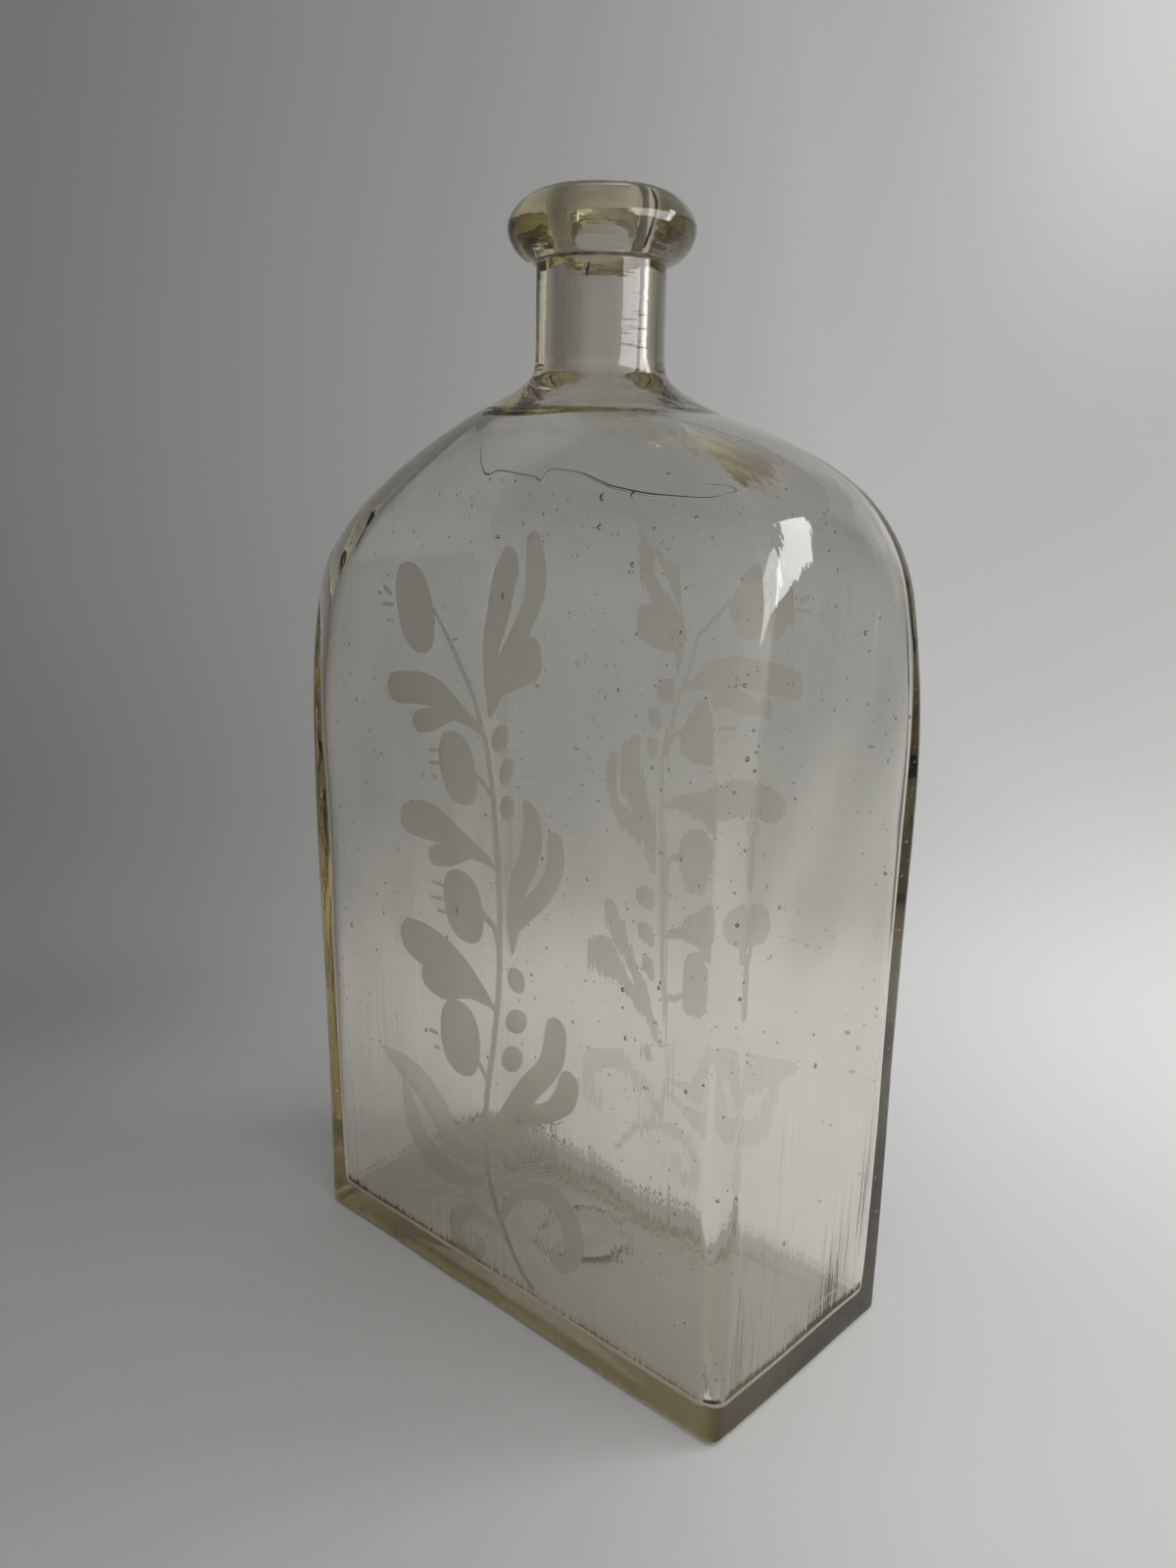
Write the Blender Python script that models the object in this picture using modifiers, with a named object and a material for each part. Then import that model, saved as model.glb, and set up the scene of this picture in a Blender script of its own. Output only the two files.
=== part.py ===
"""A flat-sided spirit bottle of hand-blown glass, with a ring of glass laid round its neck as a lip.

Metres, +Z up. The origin is the middle of the base, the wide faces look along -Y and +Y.
"""

import math

import bmesh
import bpy

# Body, outside
BODY_WIDTH = 0.1240
BODY_DEPTH = 0.0628
BASE_WIDTH_LOSS = 0.0012
BASE_DEPTH_LOSS = 0.0028
TAPER_HEIGHT = 0.1070
CORNER_RADIUS = 0.0040
BASE_CORNER_RADIUS = 0.0024
CORNER_GROWTH_HEIGHT = 0.0600
HEEL_RADIUS = 0.0020
WALL_HEIGHT = 0.1564
SHOULDER_RISE = 0.0353
CREASE_RADIUS = 0.0248
FLARE_RISE = 0.0075
NECK_RADIUS = 0.0130
NECK_LENGTH = 0.0338
SHOULDER_SKEW = 0.0026

# Body, inside
WALL = 0.0033
HEEL_WALL_GAIN = 0.0012
HEEL_WALL_HEIGHT = 0.0400
SHOULDER_DROP = 0.0032
BASE_THICKNESS = 0.0056
FLOOR_RISE = 0.0020
INNER_CORNER_RADIUS = 0.0036
BASE_INNER_CORNER_RADIUS = 0.0012
INNER_HEEL_RADIUS = 0.0018
BORE_RADIUS = 0.0076
BORE_FLARE_RISE = 0.0103
RIM_RADIUS = 0.0022
RIM_OUTER_RADIUS = 0.0004

# Underside
REST_BAND = 0.0080
PUSH_UP = 0.0032
PONTIL_RADIUS = 0.0110
PONTIL_RIDGE = 0.0022
PONTIL_DEPTH = 0.0006

# Lip
LIP_HEIGHT = 0.0132
LIP_BULGE = 0.0054
LIP_TOP_MARGIN = 0.0002
LIP_GAP = 0.0003
WELD_DISTANCE = 0.00001

# How the sections change with height
DEPTH_START_SHARE = 0.5
FADE_START_SHARE = 0.74
FADE_POWER = 2.5
WIDTH_POWERS = (2.18, 1.18)
DEPTH_POWERS = (1.5, 1.0)
FLARE_POWER = 1.15
SKEW_POWER = 1.3
BORE_FLARE_POWER = 1.35
LIP_WAIST_SHARE = 0.6
LIP_LEDGE_SHARE = 0.18
LIP_LOWER_POWER = 1.25
LIP_UPPER_POWERS = (1.6, 0.7)

# Points of a quarter section: on the narrow side, round the corner, on the wide side
NARROW_STEPS = 3
CORNER_STEPS = 7
WIDE_STEPS = 6
NARROW_END_SHARE = 0.25
CORNER_END_SHARE = 0.75

# Rings of each stretch of the glass
HEEL_RINGS = 4
LOWER_WALL_RINGS = 6
FADE_RINGS = 5
SHOULDER_RINGS = 13
FLARE_RINGS = 4
BORE_FLARE_RINGS = 7
RIM_RINGS = 4
DOME_RINGS = 4
LIP_PROFILE_STEPS = 11
LIP_TURN_STEPS = 56

CREASE_HEIGHT = WALL_HEIGHT + SHOULDER_RISE
NECK_FOOT = CREASE_HEIGHT + FLARE_RISE
MOUTH_HEIGHT = NECK_FOOT + NECK_LENGTH
FADE_START = WALL_HEIGHT * FADE_START_SHARE
DEPTH_START = WALL_HEIGHT + SHOULDER_RISE * DEPTH_START_SHARE

GLASS_COLOUR = (0.79, 0.80, 0.73, 1.0)
LIP_COLOUR = (0.74, 0.74, 0.62, 1.0)
GLASS_ROUGHNESS = 0.04
GLASS_INDEX = 1.5
SMOOTH_BELOW = math.radians(38)


def clear_scene():
    for old in list(bpy.data.objects):
        bpy.data.objects.remove(old, do_unlink=True)


def glass_material(name, colour):
    material = bpy.data.materials.new(name)
    material.use_nodes = True
    shader = material.node_tree.nodes["Principled BSDF"]
    shader.inputs["Base Color"].default_value = colour
    shader.inputs["Roughness"].default_value = GLASS_ROUGHNESS
    shader.inputs["Metallic"].default_value = 0
    shader.inputs["IOR"].default_value = GLASS_INDEX
    shader.inputs["Transmission Weight"].default_value = 1
    return material


def shares(count):
    """count values, evenly spaced, from just after 0 up to 1."""
    return [step / count for step in range(1, count + 1)]


def blend(low, high, share):
    return low + (high - low) * share


def quarter(half_width, half_depth, corner, roundness):
    """A quarter of a section, from the middle of the narrow side to the middle of the wide side.

    roundness 0 is a rectangle with round corners, 1 an ellipse, and between them each point slides.
    """
    points = []
    narrow = [NARROW_END_SHARE * step / NARROW_STEPS for step in range(NARROW_STEPS)]
    turn = [blend(NARROW_END_SHARE, CORNER_END_SHARE, step / CORNER_STEPS) for step in range(CORNER_STEPS)]
    wide = [blend(CORNER_END_SHARE, 1, step / WIDE_STEPS) for step in range(WIDE_STEPS + 1)]
    for share in narrow + turn + wide:
        if share < NARROW_END_SHARE:
            x = half_width
            y = (half_depth - corner) * share / NARROW_END_SHARE
        elif share <= CORNER_END_SHARE:
            angle = (share - NARROW_END_SHARE) / (CORNER_END_SHARE - NARROW_END_SHARE) * math.pi / 2
            x = half_width - corner + corner * math.cos(angle)
            y = half_depth - corner + corner * math.sin(angle)
        else:
            x = (half_width - corner) * (1 - share) / (1 - CORNER_END_SHARE)
            y = half_depth
        angle = share * math.pi / 2
        x = blend(x, half_width * math.cos(angle), roundness)
        y = blend(y, half_depth * math.sin(angle), roundness)
        points.append((x, y))
    return points


def ring(half_width, half_depth, corner, roundness, height, skew=0.0):
    """A closed section at a height. skew lifts its +X end and lowers its -X end."""
    side = quarter(half_width, half_depth, corner, roundness)
    flat = side[:-1]
    flat += [(-x, y) for x, y in reversed(side[1:])]
    flat += [(-x, -y) for x, y in side[:-1]]
    flat += [(x, -y) for x, y in reversed(side[1:])]
    return [(x, y, height + skew * x / (BODY_WIDTH / 2)) for x, y in flat]


def arch(full, end, share, powers):
    """Falls from full to end as share goes from 0 to 1, first slowly and then fast."""
    share = min(max(share, 0), 1)
    return end + (full - end) * (1 - share ** powers[0]) ** (1 / powers[1])


def body_size(height):
    """(half width, half depth, roundness) of the outside, from the base to the crease under the neck."""
    rise = min(height / TAPER_HEIGHT, 1)
    half_width = (BODY_WIDTH - BASE_WIDTH_LOSS * (1 - rise)) / 2
    half_depth = (BODY_DEPTH - BASE_DEPTH_LOSS * (1 - rise)) / 2
    across = (height - WALL_HEIGHT) / SHOULDER_RISE
    half_width = arch(half_width, CREASE_RADIUS, across, WIDTH_POWERS)
    deep = (height - DEPTH_START) / (CREASE_HEIGHT - DEPTH_START)
    half_depth = arch(half_depth, CREASE_RADIUS, deep, DEPTH_POWERS)
    fade = min(max((height - FADE_START) / (CREASE_HEIGHT - FADE_START), 0), 1)
    return half_width, half_depth, fade**FADE_POWER


def corner_at(height, base_radius, radius):
    """Corner radius of a section: the corners are crisp at the base and soften up to a height."""
    return blend(base_radius, radius, min(height / CORNER_GROWTH_HEIGHT, 1))


def skew_at(height):
    """The shoulders are a little out of level: most half way up them, none at the walls or the crease."""
    rise = min(max((height - WALL_HEIGHT) / SHOULDER_RISE, 0), 1)
    return SHOULDER_SKEW * math.sin(math.pi * rise**SKEW_POWER)


def wall_at(height):
    low = max(1 - height / HEEL_WALL_HEIGHT, 0)
    return WALL + HEEL_WALL_GAIN * low**2


def wall_heights(start):
    """Heights of the rings from the top of the heel to the crease."""
    heights = [blend(start, FADE_START, share) for share in shares(LOWER_WALL_RINGS)]
    heights += [blend(FADE_START, WALL_HEIGHT, share) for share in shares(FADE_RINGS)]
    for share in shares(SHOULDER_RINGS):
        heights.append(blend(WALL_HEIGHT, CREASE_HEIGHT, math.sin(share * math.pi / 2)))
    return heights


def underside():
    """Rings from the middle of the base out to the heel: pontil mark, push-up and the band it rests on."""
    rings = []
    inner_ridge = PONTIL_RADIUS - PONTIL_RIDGE
    middle_ridge = PONTIL_RADIUS - PONTIL_RIDGE / 2
    rings.append(ring(inner_ridge / 2, inner_ridge / 2, 0, 1, PUSH_UP))
    rings.append(ring(inner_ridge, inner_ridge, 0, 1, PUSH_UP))
    rings.append(ring(middle_ridge, middle_ridge, 0, 1, PUSH_UP - PONTIL_DEPTH))
    half_width, half_depth, _ = body_size(0)
    half_width -= REST_BAND
    half_depth -= REST_BAND
    for step in range(DOME_RINGS + 1):
        share = step / DOME_RINGS
        height = PUSH_UP * (1 + math.cos(share * math.pi)) / 2
        width = blend(PONTIL_RADIUS, half_width, share)
        depth = blend(PONTIL_RADIUS, half_depth, share)
        rings.append(ring(width, depth, min(BASE_CORNER_RADIUS, depth), 1 - share, height))
    return rings


def heel():
    """Rings of the rounded bottom edge."""
    rings = []
    for share in [0.0] + shares(HEEL_RINGS):
        angle = share * math.pi / 2
        height = HEEL_RADIUS * (1 - math.cos(angle))
        inset = HEEL_RADIUS * (1 - math.sin(angle))
        half_width, half_depth, _ = body_size(height)
        rings.append(ring(half_width - inset, half_depth - inset, BASE_CORNER_RADIUS, 0, height))
    return rings


def outer_walls():
    """Rings from the heel to the crease under the neck, and from there to the neck's foot."""
    rings = []
    for height in wall_heights(HEEL_RADIUS):
        half_width, half_depth, roundness = body_size(height)
        corner = corner_at(height, BASE_CORNER_RADIUS, CORNER_RADIUS)
        rings.append(ring(half_width, half_depth, corner, roundness, height, skew_at(height)))
    for share in shares(FLARE_RINGS):
        height = blend(CREASE_HEIGHT, NECK_FOOT, share)
        radius = blend(NECK_RADIUS, CREASE_RADIUS, (1 - share) ** FLARE_POWER)
        rings.append(ring(radius, radius, 0, 1, height))
    return rings


def mouth():
    """Rings of the neck above its foot, over the rim and into the bore."""
    rings = []
    shelf = MOUTH_HEIGHT - RIM_OUTER_RADIUS
    rings.append(ring(NECK_RADIUS, NECK_RADIUS, 0, 1, shelf - LIP_HEIGHT))
    rings.append(ring(NECK_RADIUS, NECK_RADIUS, 0, 1, shelf))
    edge = NECK_RADIUS - RIM_OUTER_RADIUS
    rings.append(ring(edge, edge, 0, 1, MOUTH_HEIGHT))
    for step in range(RIM_RINGS + 1):
        angle = step / RIM_RINGS * math.pi / 2
        radius = BORE_RADIUS + RIM_RADIUS * (1 - math.sin(angle))
        height = MOUTH_HEIGHT - RIM_RADIUS * (1 - math.cos(angle))
        rings.append(ring(radius, radius, 0, 1, height))
    return rings


def inner_walls():
    """Rings from the bore down to the foot of the inside wall."""
    rings = []
    top = CREASE_HEIGHT - SHOULDER_DROP
    bottom = BASE_THICKNESS + INNER_HEEL_RADIUS
    for share in [0.0] + shares(BORE_FLARE_RINGS):
        radius = blend(BORE_RADIUS, CREASE_RADIUS - WALL, share**BORE_FLARE_POWER)
        rings.append(ring(radius, radius, 0, 1, top + BORE_FLARE_RISE * (1 - share)))
    for height in reversed([bottom] + wall_heights(bottom)[:-1]):
        rise = min(max((height - FADE_START) / (CREASE_HEIGHT - FADE_START), 0), 1)
        low = height - SHOULDER_DROP * rise
        half_width, half_depth, roundness = body_size(height)
        wall = wall_at(low)
        corner = corner_at(low, BASE_INNER_CORNER_RADIUS, INNER_CORNER_RADIUS)
        rings.append(ring(half_width - wall, half_depth - wall, corner, roundness, low, skew_at(height)))
    return rings


def inner_floor():
    """Rings of the fillet at the foot of the inside wall and of the floor, which rises to its middle."""
    rings = []
    half_width, half_depth, _ = body_size(BASE_THICKNESS)
    wall = wall_at(BASE_THICKNESS)
    corner = corner_at(BASE_THICKNESS, BASE_INNER_CORNER_RADIUS, INNER_CORNER_RADIUS)
    half_width -= wall
    half_depth -= wall
    for share in shares(HEEL_RINGS):
        angle = share * math.pi / 2
        inset = INNER_HEEL_RADIUS * (1 - math.cos(angle))
        height = BASE_THICKNESS + INNER_HEEL_RADIUS * (1 - math.sin(angle))
        rings.append(ring(half_width - inset, half_depth - inset, corner, 0, height))
    half_width -= INNER_HEEL_RADIUS
    half_depth -= INNER_HEEL_RADIUS
    for share in shares(DOME_RINGS):
        height = BASE_THICKNESS + FLOOR_RISE * (1 - math.cos(share * math.pi)) / 2
        width = blend(half_width, PONTIL_RADIUS, share)
        depth = blend(half_depth, PONTIL_RADIUS, share)
        rings.append(ring(width, depth, min(corner, depth), share, height))
    return rings


def loft(name, rings, start_height, end_height):
    """One closed mesh over the rings in order, closed at both ends by a fan to a point on the axis."""
    mesh = bpy.data.meshes.new(name)
    work = bmesh.new()
    rows = [[work.verts.new(point) for point in points] for points in rings]
    count = len(rows[0])
    for lower, upper in zip(rows, rows[1:]):
        for index in range(count):
            after = (index + 1) % count
            work.faces.new((lower[index], lower[after], upper[after], upper[index]))
    for row, height in ((rows[0], start_height), (rows[-1], end_height)):
        tip = work.verts.new((0, 0, height))
        for index in range(count):
            work.faces.new((row[index], tip, row[(index + 1) % count]))
    bmesh.ops.recalc_face_normals(work, faces=work.faces)
    work.to_mesh(mesh)
    work.free()
    return mesh


def finish(obj, material, collection):
    collection.objects.link(obj)
    obj.data.materials.append(material)
    obj.data.shade_smooth()
    obj.data.set_sharp_from_angle(angle=SMOOTH_BELOW)
    return obj


def blown_body(collection):
    """The bottle itself, blown in one piece: base, walls, shoulders and neck, open at the mouth."""
    rings = underside() + heel() + outer_walls() + mouth() + inner_walls() + inner_floor()
    mesh = loft("blown_body", rings, PUSH_UP, BASE_THICKNESS + FLOOR_RISE)
    body = bpy.data.objects.new("blown_body", mesh)
    return finish(body, glass_material("bottle_glass", GLASS_COLOUR), collection)


def lip_profile():
    """Points of the lip's section, down its outer side from top to bottom."""
    bore = NECK_RADIUS + LIP_GAP
    top = MOUTH_HEIGHT - LIP_TOP_MARGIN
    bottom = top - LIP_HEIGHT
    waist = blend(bottom, top, LIP_WAIST_SHARE)
    points = [(bore, top)]
    for step in shares(LIP_PROFILE_STEPS):
        share = math.cos(step * math.pi / 2)
        reach = (1 - share ** LIP_UPPER_POWERS[0]) ** LIP_UPPER_POWERS[1]
        points.append((blend(bore, NECK_RADIUS + LIP_BULGE, reach), blend(waist, top, share)))
    for share in shares(LIP_PROFILE_STEPS):
        reach = 1 - (1 - LIP_LEDGE_SHARE) * share**LIP_LOWER_POWER
        points.append((blend(bore, NECK_RADIUS + LIP_BULGE, reach), blend(waist, bottom, share)))
    points.append((bore, bottom))
    return points


def applied_lip(collection):
    """A ring of glass trailed round the neck at the mouth and tooled to a bead."""
    mesh = bpy.data.meshes.new("applied_lip")
    work = bmesh.new()
    points = [work.verts.new((radius, 0, height)) for radius, height in lip_profile()]
    for index, point in enumerate(points):
        work.edges.new((point, points[(index + 1) % len(points)]))
    work.to_mesh(mesh)
    work.free()
    lip = bpy.data.objects.new("applied_lip", mesh)
    screw = lip.modifiers.new("turn", "SCREW")
    screw.steps = LIP_TURN_STEPS
    screw.render_steps = LIP_TURN_STEPS
    screw.use_smooth_shade = True
    screw.use_merge_vertices = True
    screw.merge_threshold = WELD_DISTANCE
    return finish(lip, glass_material("lip_glass", LIP_COLOUR), collection)


def main():
    clear_scene()
    collection = bpy.data.collections.new("spirit_bottle")
    bpy.context.scene.collection.children.link(collection)
    blown_body(collection)
    applied_lip(collection)


main()
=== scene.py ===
"""The look of a hand-blown spirit bottle: clear glass with an engraved spray on each wide face.

Metres, +Z up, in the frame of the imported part: the origin is the middle of the base.
"""

import math

import bmesh
import bpy
import numpy as np
from mathutils import Matrix, Quaternion, Vector, geometry


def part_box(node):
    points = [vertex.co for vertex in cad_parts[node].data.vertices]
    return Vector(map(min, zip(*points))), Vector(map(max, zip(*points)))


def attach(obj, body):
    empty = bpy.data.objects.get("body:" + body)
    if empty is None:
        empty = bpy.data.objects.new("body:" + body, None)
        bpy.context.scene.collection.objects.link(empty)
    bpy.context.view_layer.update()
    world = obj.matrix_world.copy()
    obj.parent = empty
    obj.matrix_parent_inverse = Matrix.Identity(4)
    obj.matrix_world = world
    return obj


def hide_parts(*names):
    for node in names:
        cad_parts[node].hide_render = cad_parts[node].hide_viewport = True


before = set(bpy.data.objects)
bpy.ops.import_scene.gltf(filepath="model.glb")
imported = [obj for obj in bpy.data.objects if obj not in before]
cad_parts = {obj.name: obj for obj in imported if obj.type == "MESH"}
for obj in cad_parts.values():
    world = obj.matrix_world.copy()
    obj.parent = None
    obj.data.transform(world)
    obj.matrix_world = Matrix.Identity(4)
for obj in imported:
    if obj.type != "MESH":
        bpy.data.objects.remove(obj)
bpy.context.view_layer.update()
body_low, body_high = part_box("blown_body")
lip_low, lip_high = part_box("applied_lip")

MM = 0.001

# The photograph's camera. Pixels are those of the 1200 x 1600 picture.
PICTURE_WIDTH = 1200
PICTURE_HEIGHT = 1600
FOCAL_PIXELS = 1274.7
SENSOR = 36.0
CAMERA_PLACE = (0.17837, -0.19330, 0.18006)
CAMERA_AZIMUTH = math.radians(42.958)
CAMERA_PITCH = math.radians(13.935)
CAMERA_ROLL = math.radians(0.863)
CAMERA_CLIP = (0.01, 20)

# The sweep that the bottle stands on. Angles are seen from the bottle, and an azimuth is measured from
# straight ahead of the camera, growing to the right.
FLOOR_GAP = 0.05 * MM
SWEEP_START = 0.25
SWEEP_RADIUS = 0.8
SWEEP_STEPS = 24
SWEEP_SIDES = 96
SWEEP_COLOUR = 0.7
# The next three paint shade on the paper: it darkens away from the window, between the palest and darkest
# values
SWEEP_PAINTED_SHADE_GAIN = 1.6
SWEEP_PALEST = 0.95
SWEEP_DARKEST = 0.34
PAPER_BLUE = 0.985
PAPER_ROUGHNESS = 0.8
PAPER_SPECULAR = 0.2

# Soft spots on the sweep, as (metres across and ahead of the bottle, reach in metres, strength). Some dim
# the paper with painted shade and painted shadow, some are painted light that also shows in the glass but
# less, and some are painted light that glows only through the glass.
PAINTED_SHADE_SPOTS = ((-0.35, 0.25, 0.25, 0.33), (0.74, 0.03, 0.36, 1.0), (-0.18, 0.125, 0.07, 0.22))
PAINTED_LIGHT_SPOTS = (
    (0.205, 0.12, 0.185, 0.19), (0.07, -0.085, 0.058, 0.06), (0.52, 0.93, 0.16, 0.26),
    (-0.3, 0.95, 0.3, 0.035),
)
PAINTED_LIGHT_IN_GLASS = 0.6
PAINTED_GLOWS_IN_GLASS = (
    (0.02, 0.035, 0.085, 0.16), (-0.01, 0.16, 0.08, 0.17), (0.05, -0.03, 0.05, 0.10),
    (0.72, 0.7, 0.22, 0.3),
)

# What the glass shows darker, as painted shade on the paper: a sector of the far right, in degrees from
# straight ahead, beyond the near metres, then the paper straight behind and the paper high up. Pairs are
# where each starts and is full.
DARK_SIDE = (58, 64)
DARK_SIDE_END = (96, 104)
DARK_SIDE_NEAR = (0.24, 0.32)
DARK_SIDE_DEPTH = 0.85
BEHIND_ACROSS = (-0.12, 0.12)
BEHIND_AHEAD = (0.3, 0.5)
BEHIND_DEPTH = 0.19
HIGH_AHEAD = (0.6, 0.8)
HIGH_DEPTH = 0.17

# The lights: a window to the right, the paler wall beside it and soft light from above
WINDOW_AWAY = 0.75
WINDOW_AZIMUTH = math.radians(88.5)
WINDOW_RISE = math.radians(22.5)
WINDOW_WIDTH = math.radians(8.5)
WINDOW_TALL = math.radians(38)
WINDOW_LEAN = math.radians(-34)
WINDOW_RADIANCE = 7.1
PANE_AZIMUTH = math.radians(119)
PANE_RISE = math.radians(21.2)
PANE_WIDTH = math.radians(50)
PANE_TALL = math.radians(27.6)
PANE_RADIANCE = 5.2
SKY_AWAY = 1.1
SKY_AZIMUTH = math.radians(145)
SKY_RISE = math.radians(62)
SKY_WIDTH = math.radians(50)
SKY_TALL = math.radians(36)
SKY_RADIANCE = 1.6
EYE_HEIGHT = 0.165
ROOM_LEVEL = 0.25
BOUNCES = 24
GLOSSY_BOUNCES = 12

# The body, from the frame's box and the part's own heights. The fine surface lies a hair inside the box.
SKIN = 0.15 * MM
BODY_WIDTH = body_high.x - body_low.x - 2 * SKIN
BODY_DEPTH = body_high.y - body_low.y - 2 * SKIN
MOUTH_HEIGHT = body_high.z - SKIN
BASE_WIDTH_LOSS = 1.2 * MM
BASE_DEPTH_LOSS = 2.8 * MM
TAPER_HEIGHT = 107 * MM
CORNER_RADIUS = 4.0 * MM
BASE_CORNER_RADIUS = 2.4 * MM
CORNER_GROWTH_HEIGHT = 60 * MM
HEEL_RADIUS = 2.0 * MM
WALL_HEIGHT = 156.4 * MM
CREASE_HEIGHT = 191.7 * MM
NECK_FOOT = 199.2 * MM
CREASE_RADIUS = 24.8 * MM
NECK_RADIUS = 13.0 * MM
SHOULDER_SKEW = 2.6 * MM
WALL = 3.3 * MM
HEEL_WALL_GAIN = 1.2 * MM
HEEL_WALL_HEIGHT = 40 * MM
SHOULDER_WALL_LOSS = 1.1 * MM
SHOULDER_THIN = (110 * MM, 160 * MM)
BASE_THICKNESS = 5.6 * MM
FLOOR_RISE = 2.0 * MM
INNER_CORNER_RADIUS = 3.6 * MM
BASE_INNER_CORNER_RADIUS = 1.2 * MM
SHOULDER_DROP = 1.8 * MM
BORE_END = 198.8 * MM
BORE_FLARE_POWER = 1.35
INNER_HEEL_RADIUS = 1.8 * MM
BORE_RADIUS = 7.6 * MM
# A place in the right shoulder where the glass sags inwards: in x and y, and the heights it grows over
SAG_MIDDLE = (38 * MM, -3 * MM)
SAG_REACH = (15 * MM, 15 * MM)
SAG_DEPTH = 1.5 * MM
SAG_HEIGHTS = (150 * MM, 162 * MM)
RIM_RADIUS = 2.2 * MM
RIM_OUTER_RADIUS = 0.4 * MM
REST_BAND = 8.0 * MM
PUSH_UP = 3.2 * MM
PONTIL_RADIUS = 11 * MM
PONTIL_RIDGE = 2.2 * MM
PONTIL_DEPTH = 0.6 * MM
PONTIL_EVEN_SHARE = 0.6
PONTIL_WAVES = (5.3, 11.9)
FLOOR_REACH_SHARE = 0.97
DEPTH_START_SHARE = 0.5
FADE_START_SHARE = 0.74
FADE_POWER = 2.5
WIDTH_POWERS = (2.18, 1.18)
DEPTH_POWERS = (1.5, 1.0)
FLARE_POWER = 1.25
SKEW_POWER = 1.3
SHOULDER_RISE = CREASE_HEIGHT - WALL_HEIGHT
DEPTH_START = WALL_HEIGHT + SHOULDER_RISE * DEPTH_START_SHARE
FADE_START = WALL_HEIGHT * FADE_START_SHARE

# The lip is laid over the neck. A hair of overlap keeps the two glasses optically one, and the bulge
# makes up for the waves, which only lower the surface.
LIP_OVERLAP = 0.03 * MM
LIP_WAVE_DROP = 0.2 * MM
LIP_BULGE = lip_high.x - NECK_RADIUS + LIP_WAVE_DROP
LIP_TOP = lip_high.z - SKIN
LIP_BOTTOM = lip_low.z + SKIN
LIP_WAIST_SHARE = 0.54
LIP_LOWER_POWERS = (2.2, 0.7)
LIP_UPPER_POWERS = (1.6, 0.7)

# Points round a quarter section, and where its corner starts and ends
NARROW_STEPS = 14
CORNER_STEPS = 10
WIDE_STEPS = 26
NARROW_END = 0.25
CORNER_END = 0.75

# Rows up the walls, the shoulders and the flare, and steps in the small turns
ROW_SPACING = 2.2 * MM
SHOULDER_ROW_SPACING = 0.9 * MM
FLARE_ROW_SPACING = 0.8 * MM
UNDER_STEPS = 14
CONE_STEPS = 14
LIP_STEPS = 14
LIP_BORE_STEPS = 6
LIP_ROUND_STEPS = 96
TURN_STEPS = 8

# How many rows each way are rounded off at a bend, and how often at the crease and at the neck's foot
SOFT_REACH = 3
CREASE_SOFTENING = 4
NECK_SOFTENING = 3


def turned(azimuth, pitch, roll):
    """The camera's right, up and forward directions, as rows."""
    back = np.array(
        [
            math.sin(azimuth) * math.cos(pitch),
            -math.cos(azimuth) * math.cos(pitch),
            math.sin(pitch),
        ]
    )
    right = np.cross(-back, [0, 0, 1])
    right /= np.linalg.norm(right)
    up = np.cross(right, -back)
    cos, sin = math.cos(roll), math.sin(roll)
    return np.array([cos * right + sin * up, -sin * right + cos * up, -back])


CAMERA_AXES = turned(CAMERA_AZIMUTH, CAMERA_PITCH, CAMERA_ROLL)


def make_camera():
    data = bpy.data.cameras.new("camera")
    data.sensor_width = SENSOR
    data.lens = SENSOR * FOCAL_PIXELS / PICTURE_HEIGHT
    data.clip_start, data.clip_end = CAMERA_CLIP
    camera = bpy.data.objects.new("camera", data)
    right, up, forward = CAMERA_AXES
    turn = Matrix([right, up, -forward]).transposed().to_4x4()
    camera.matrix_world = Matrix.Translation(CAMERA_PLACE) @ turn
    bpy.context.scene.collection.objects.link(camera)
    bpy.context.scene.camera = camera


def steps(start, end, count):
    """count values from start up to, but not including, end."""
    return start + (end - start) * np.arange(count) / count


def quarter_shares():
    return np.concatenate(
        [
            steps(0, NARROW_END, NARROW_STEPS),
            steps(NARROW_END, CORNER_END, CORNER_STEPS),
            steps(CORNER_END, 1, WIDE_STEPS),
        ]
    )


def round_shares():
    """Places round a section, from 0 to 4: a quarter each, from the +X side by way of +Y, -X and -Y."""
    up = quarter_shares()
    down = 1 - np.concatenate([[1.0], up[:0:-1]])
    return np.concatenate([up, 1 + down, 2 + up, 3 + down])


def blend(low, high, share):
    return low + (high - low) * share


def share_between(value, low, high):
    """0 up to low, 1 from high on, and the share of the way in between."""
    return np.clip((value - low) / (high - low), 0, 1)


def section(share, half_width, half_depth, corner, roundness):
    """x and y at places round a section. roundness 0 is a rectangle with round corners, 1 an ellipse."""
    share = np.asarray(share, float) % 4
    quadrant = np.floor(share).astype(int)
    place = share - quadrant
    place = np.where(quadrant % 2 == 1, 1 - place, place)
    angle = np.clip((place - NARROW_END) / (CORNER_END - NARROW_END), 0, 1) * math.pi / 2
    x = half_width - corner + corner * np.cos(angle)
    y = half_depth - corner + corner * np.sin(angle)
    x = np.where(place > CORNER_END, (half_width - corner) * (1 - place) / (1 - CORNER_END), x)
    y = np.where(place < NARROW_END, (half_depth - corner) * place / NARROW_END, y)
    whole = place * math.pi / 2
    x = blend(x, half_width * np.cos(whole), roundness)
    y = blend(y, half_depth * np.sin(whole), roundness)
    x = np.where((quadrant == 1) | (quadrant == 2), -x, x)
    y = np.where(quadrant >= 2, -y, y)
    return x, y


def arch(full, end, share, powers):
    share = np.clip(share, 0, 1)
    return end + (full - end) * (1 - share ** powers[0]) ** (1 / powers[1])


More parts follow.
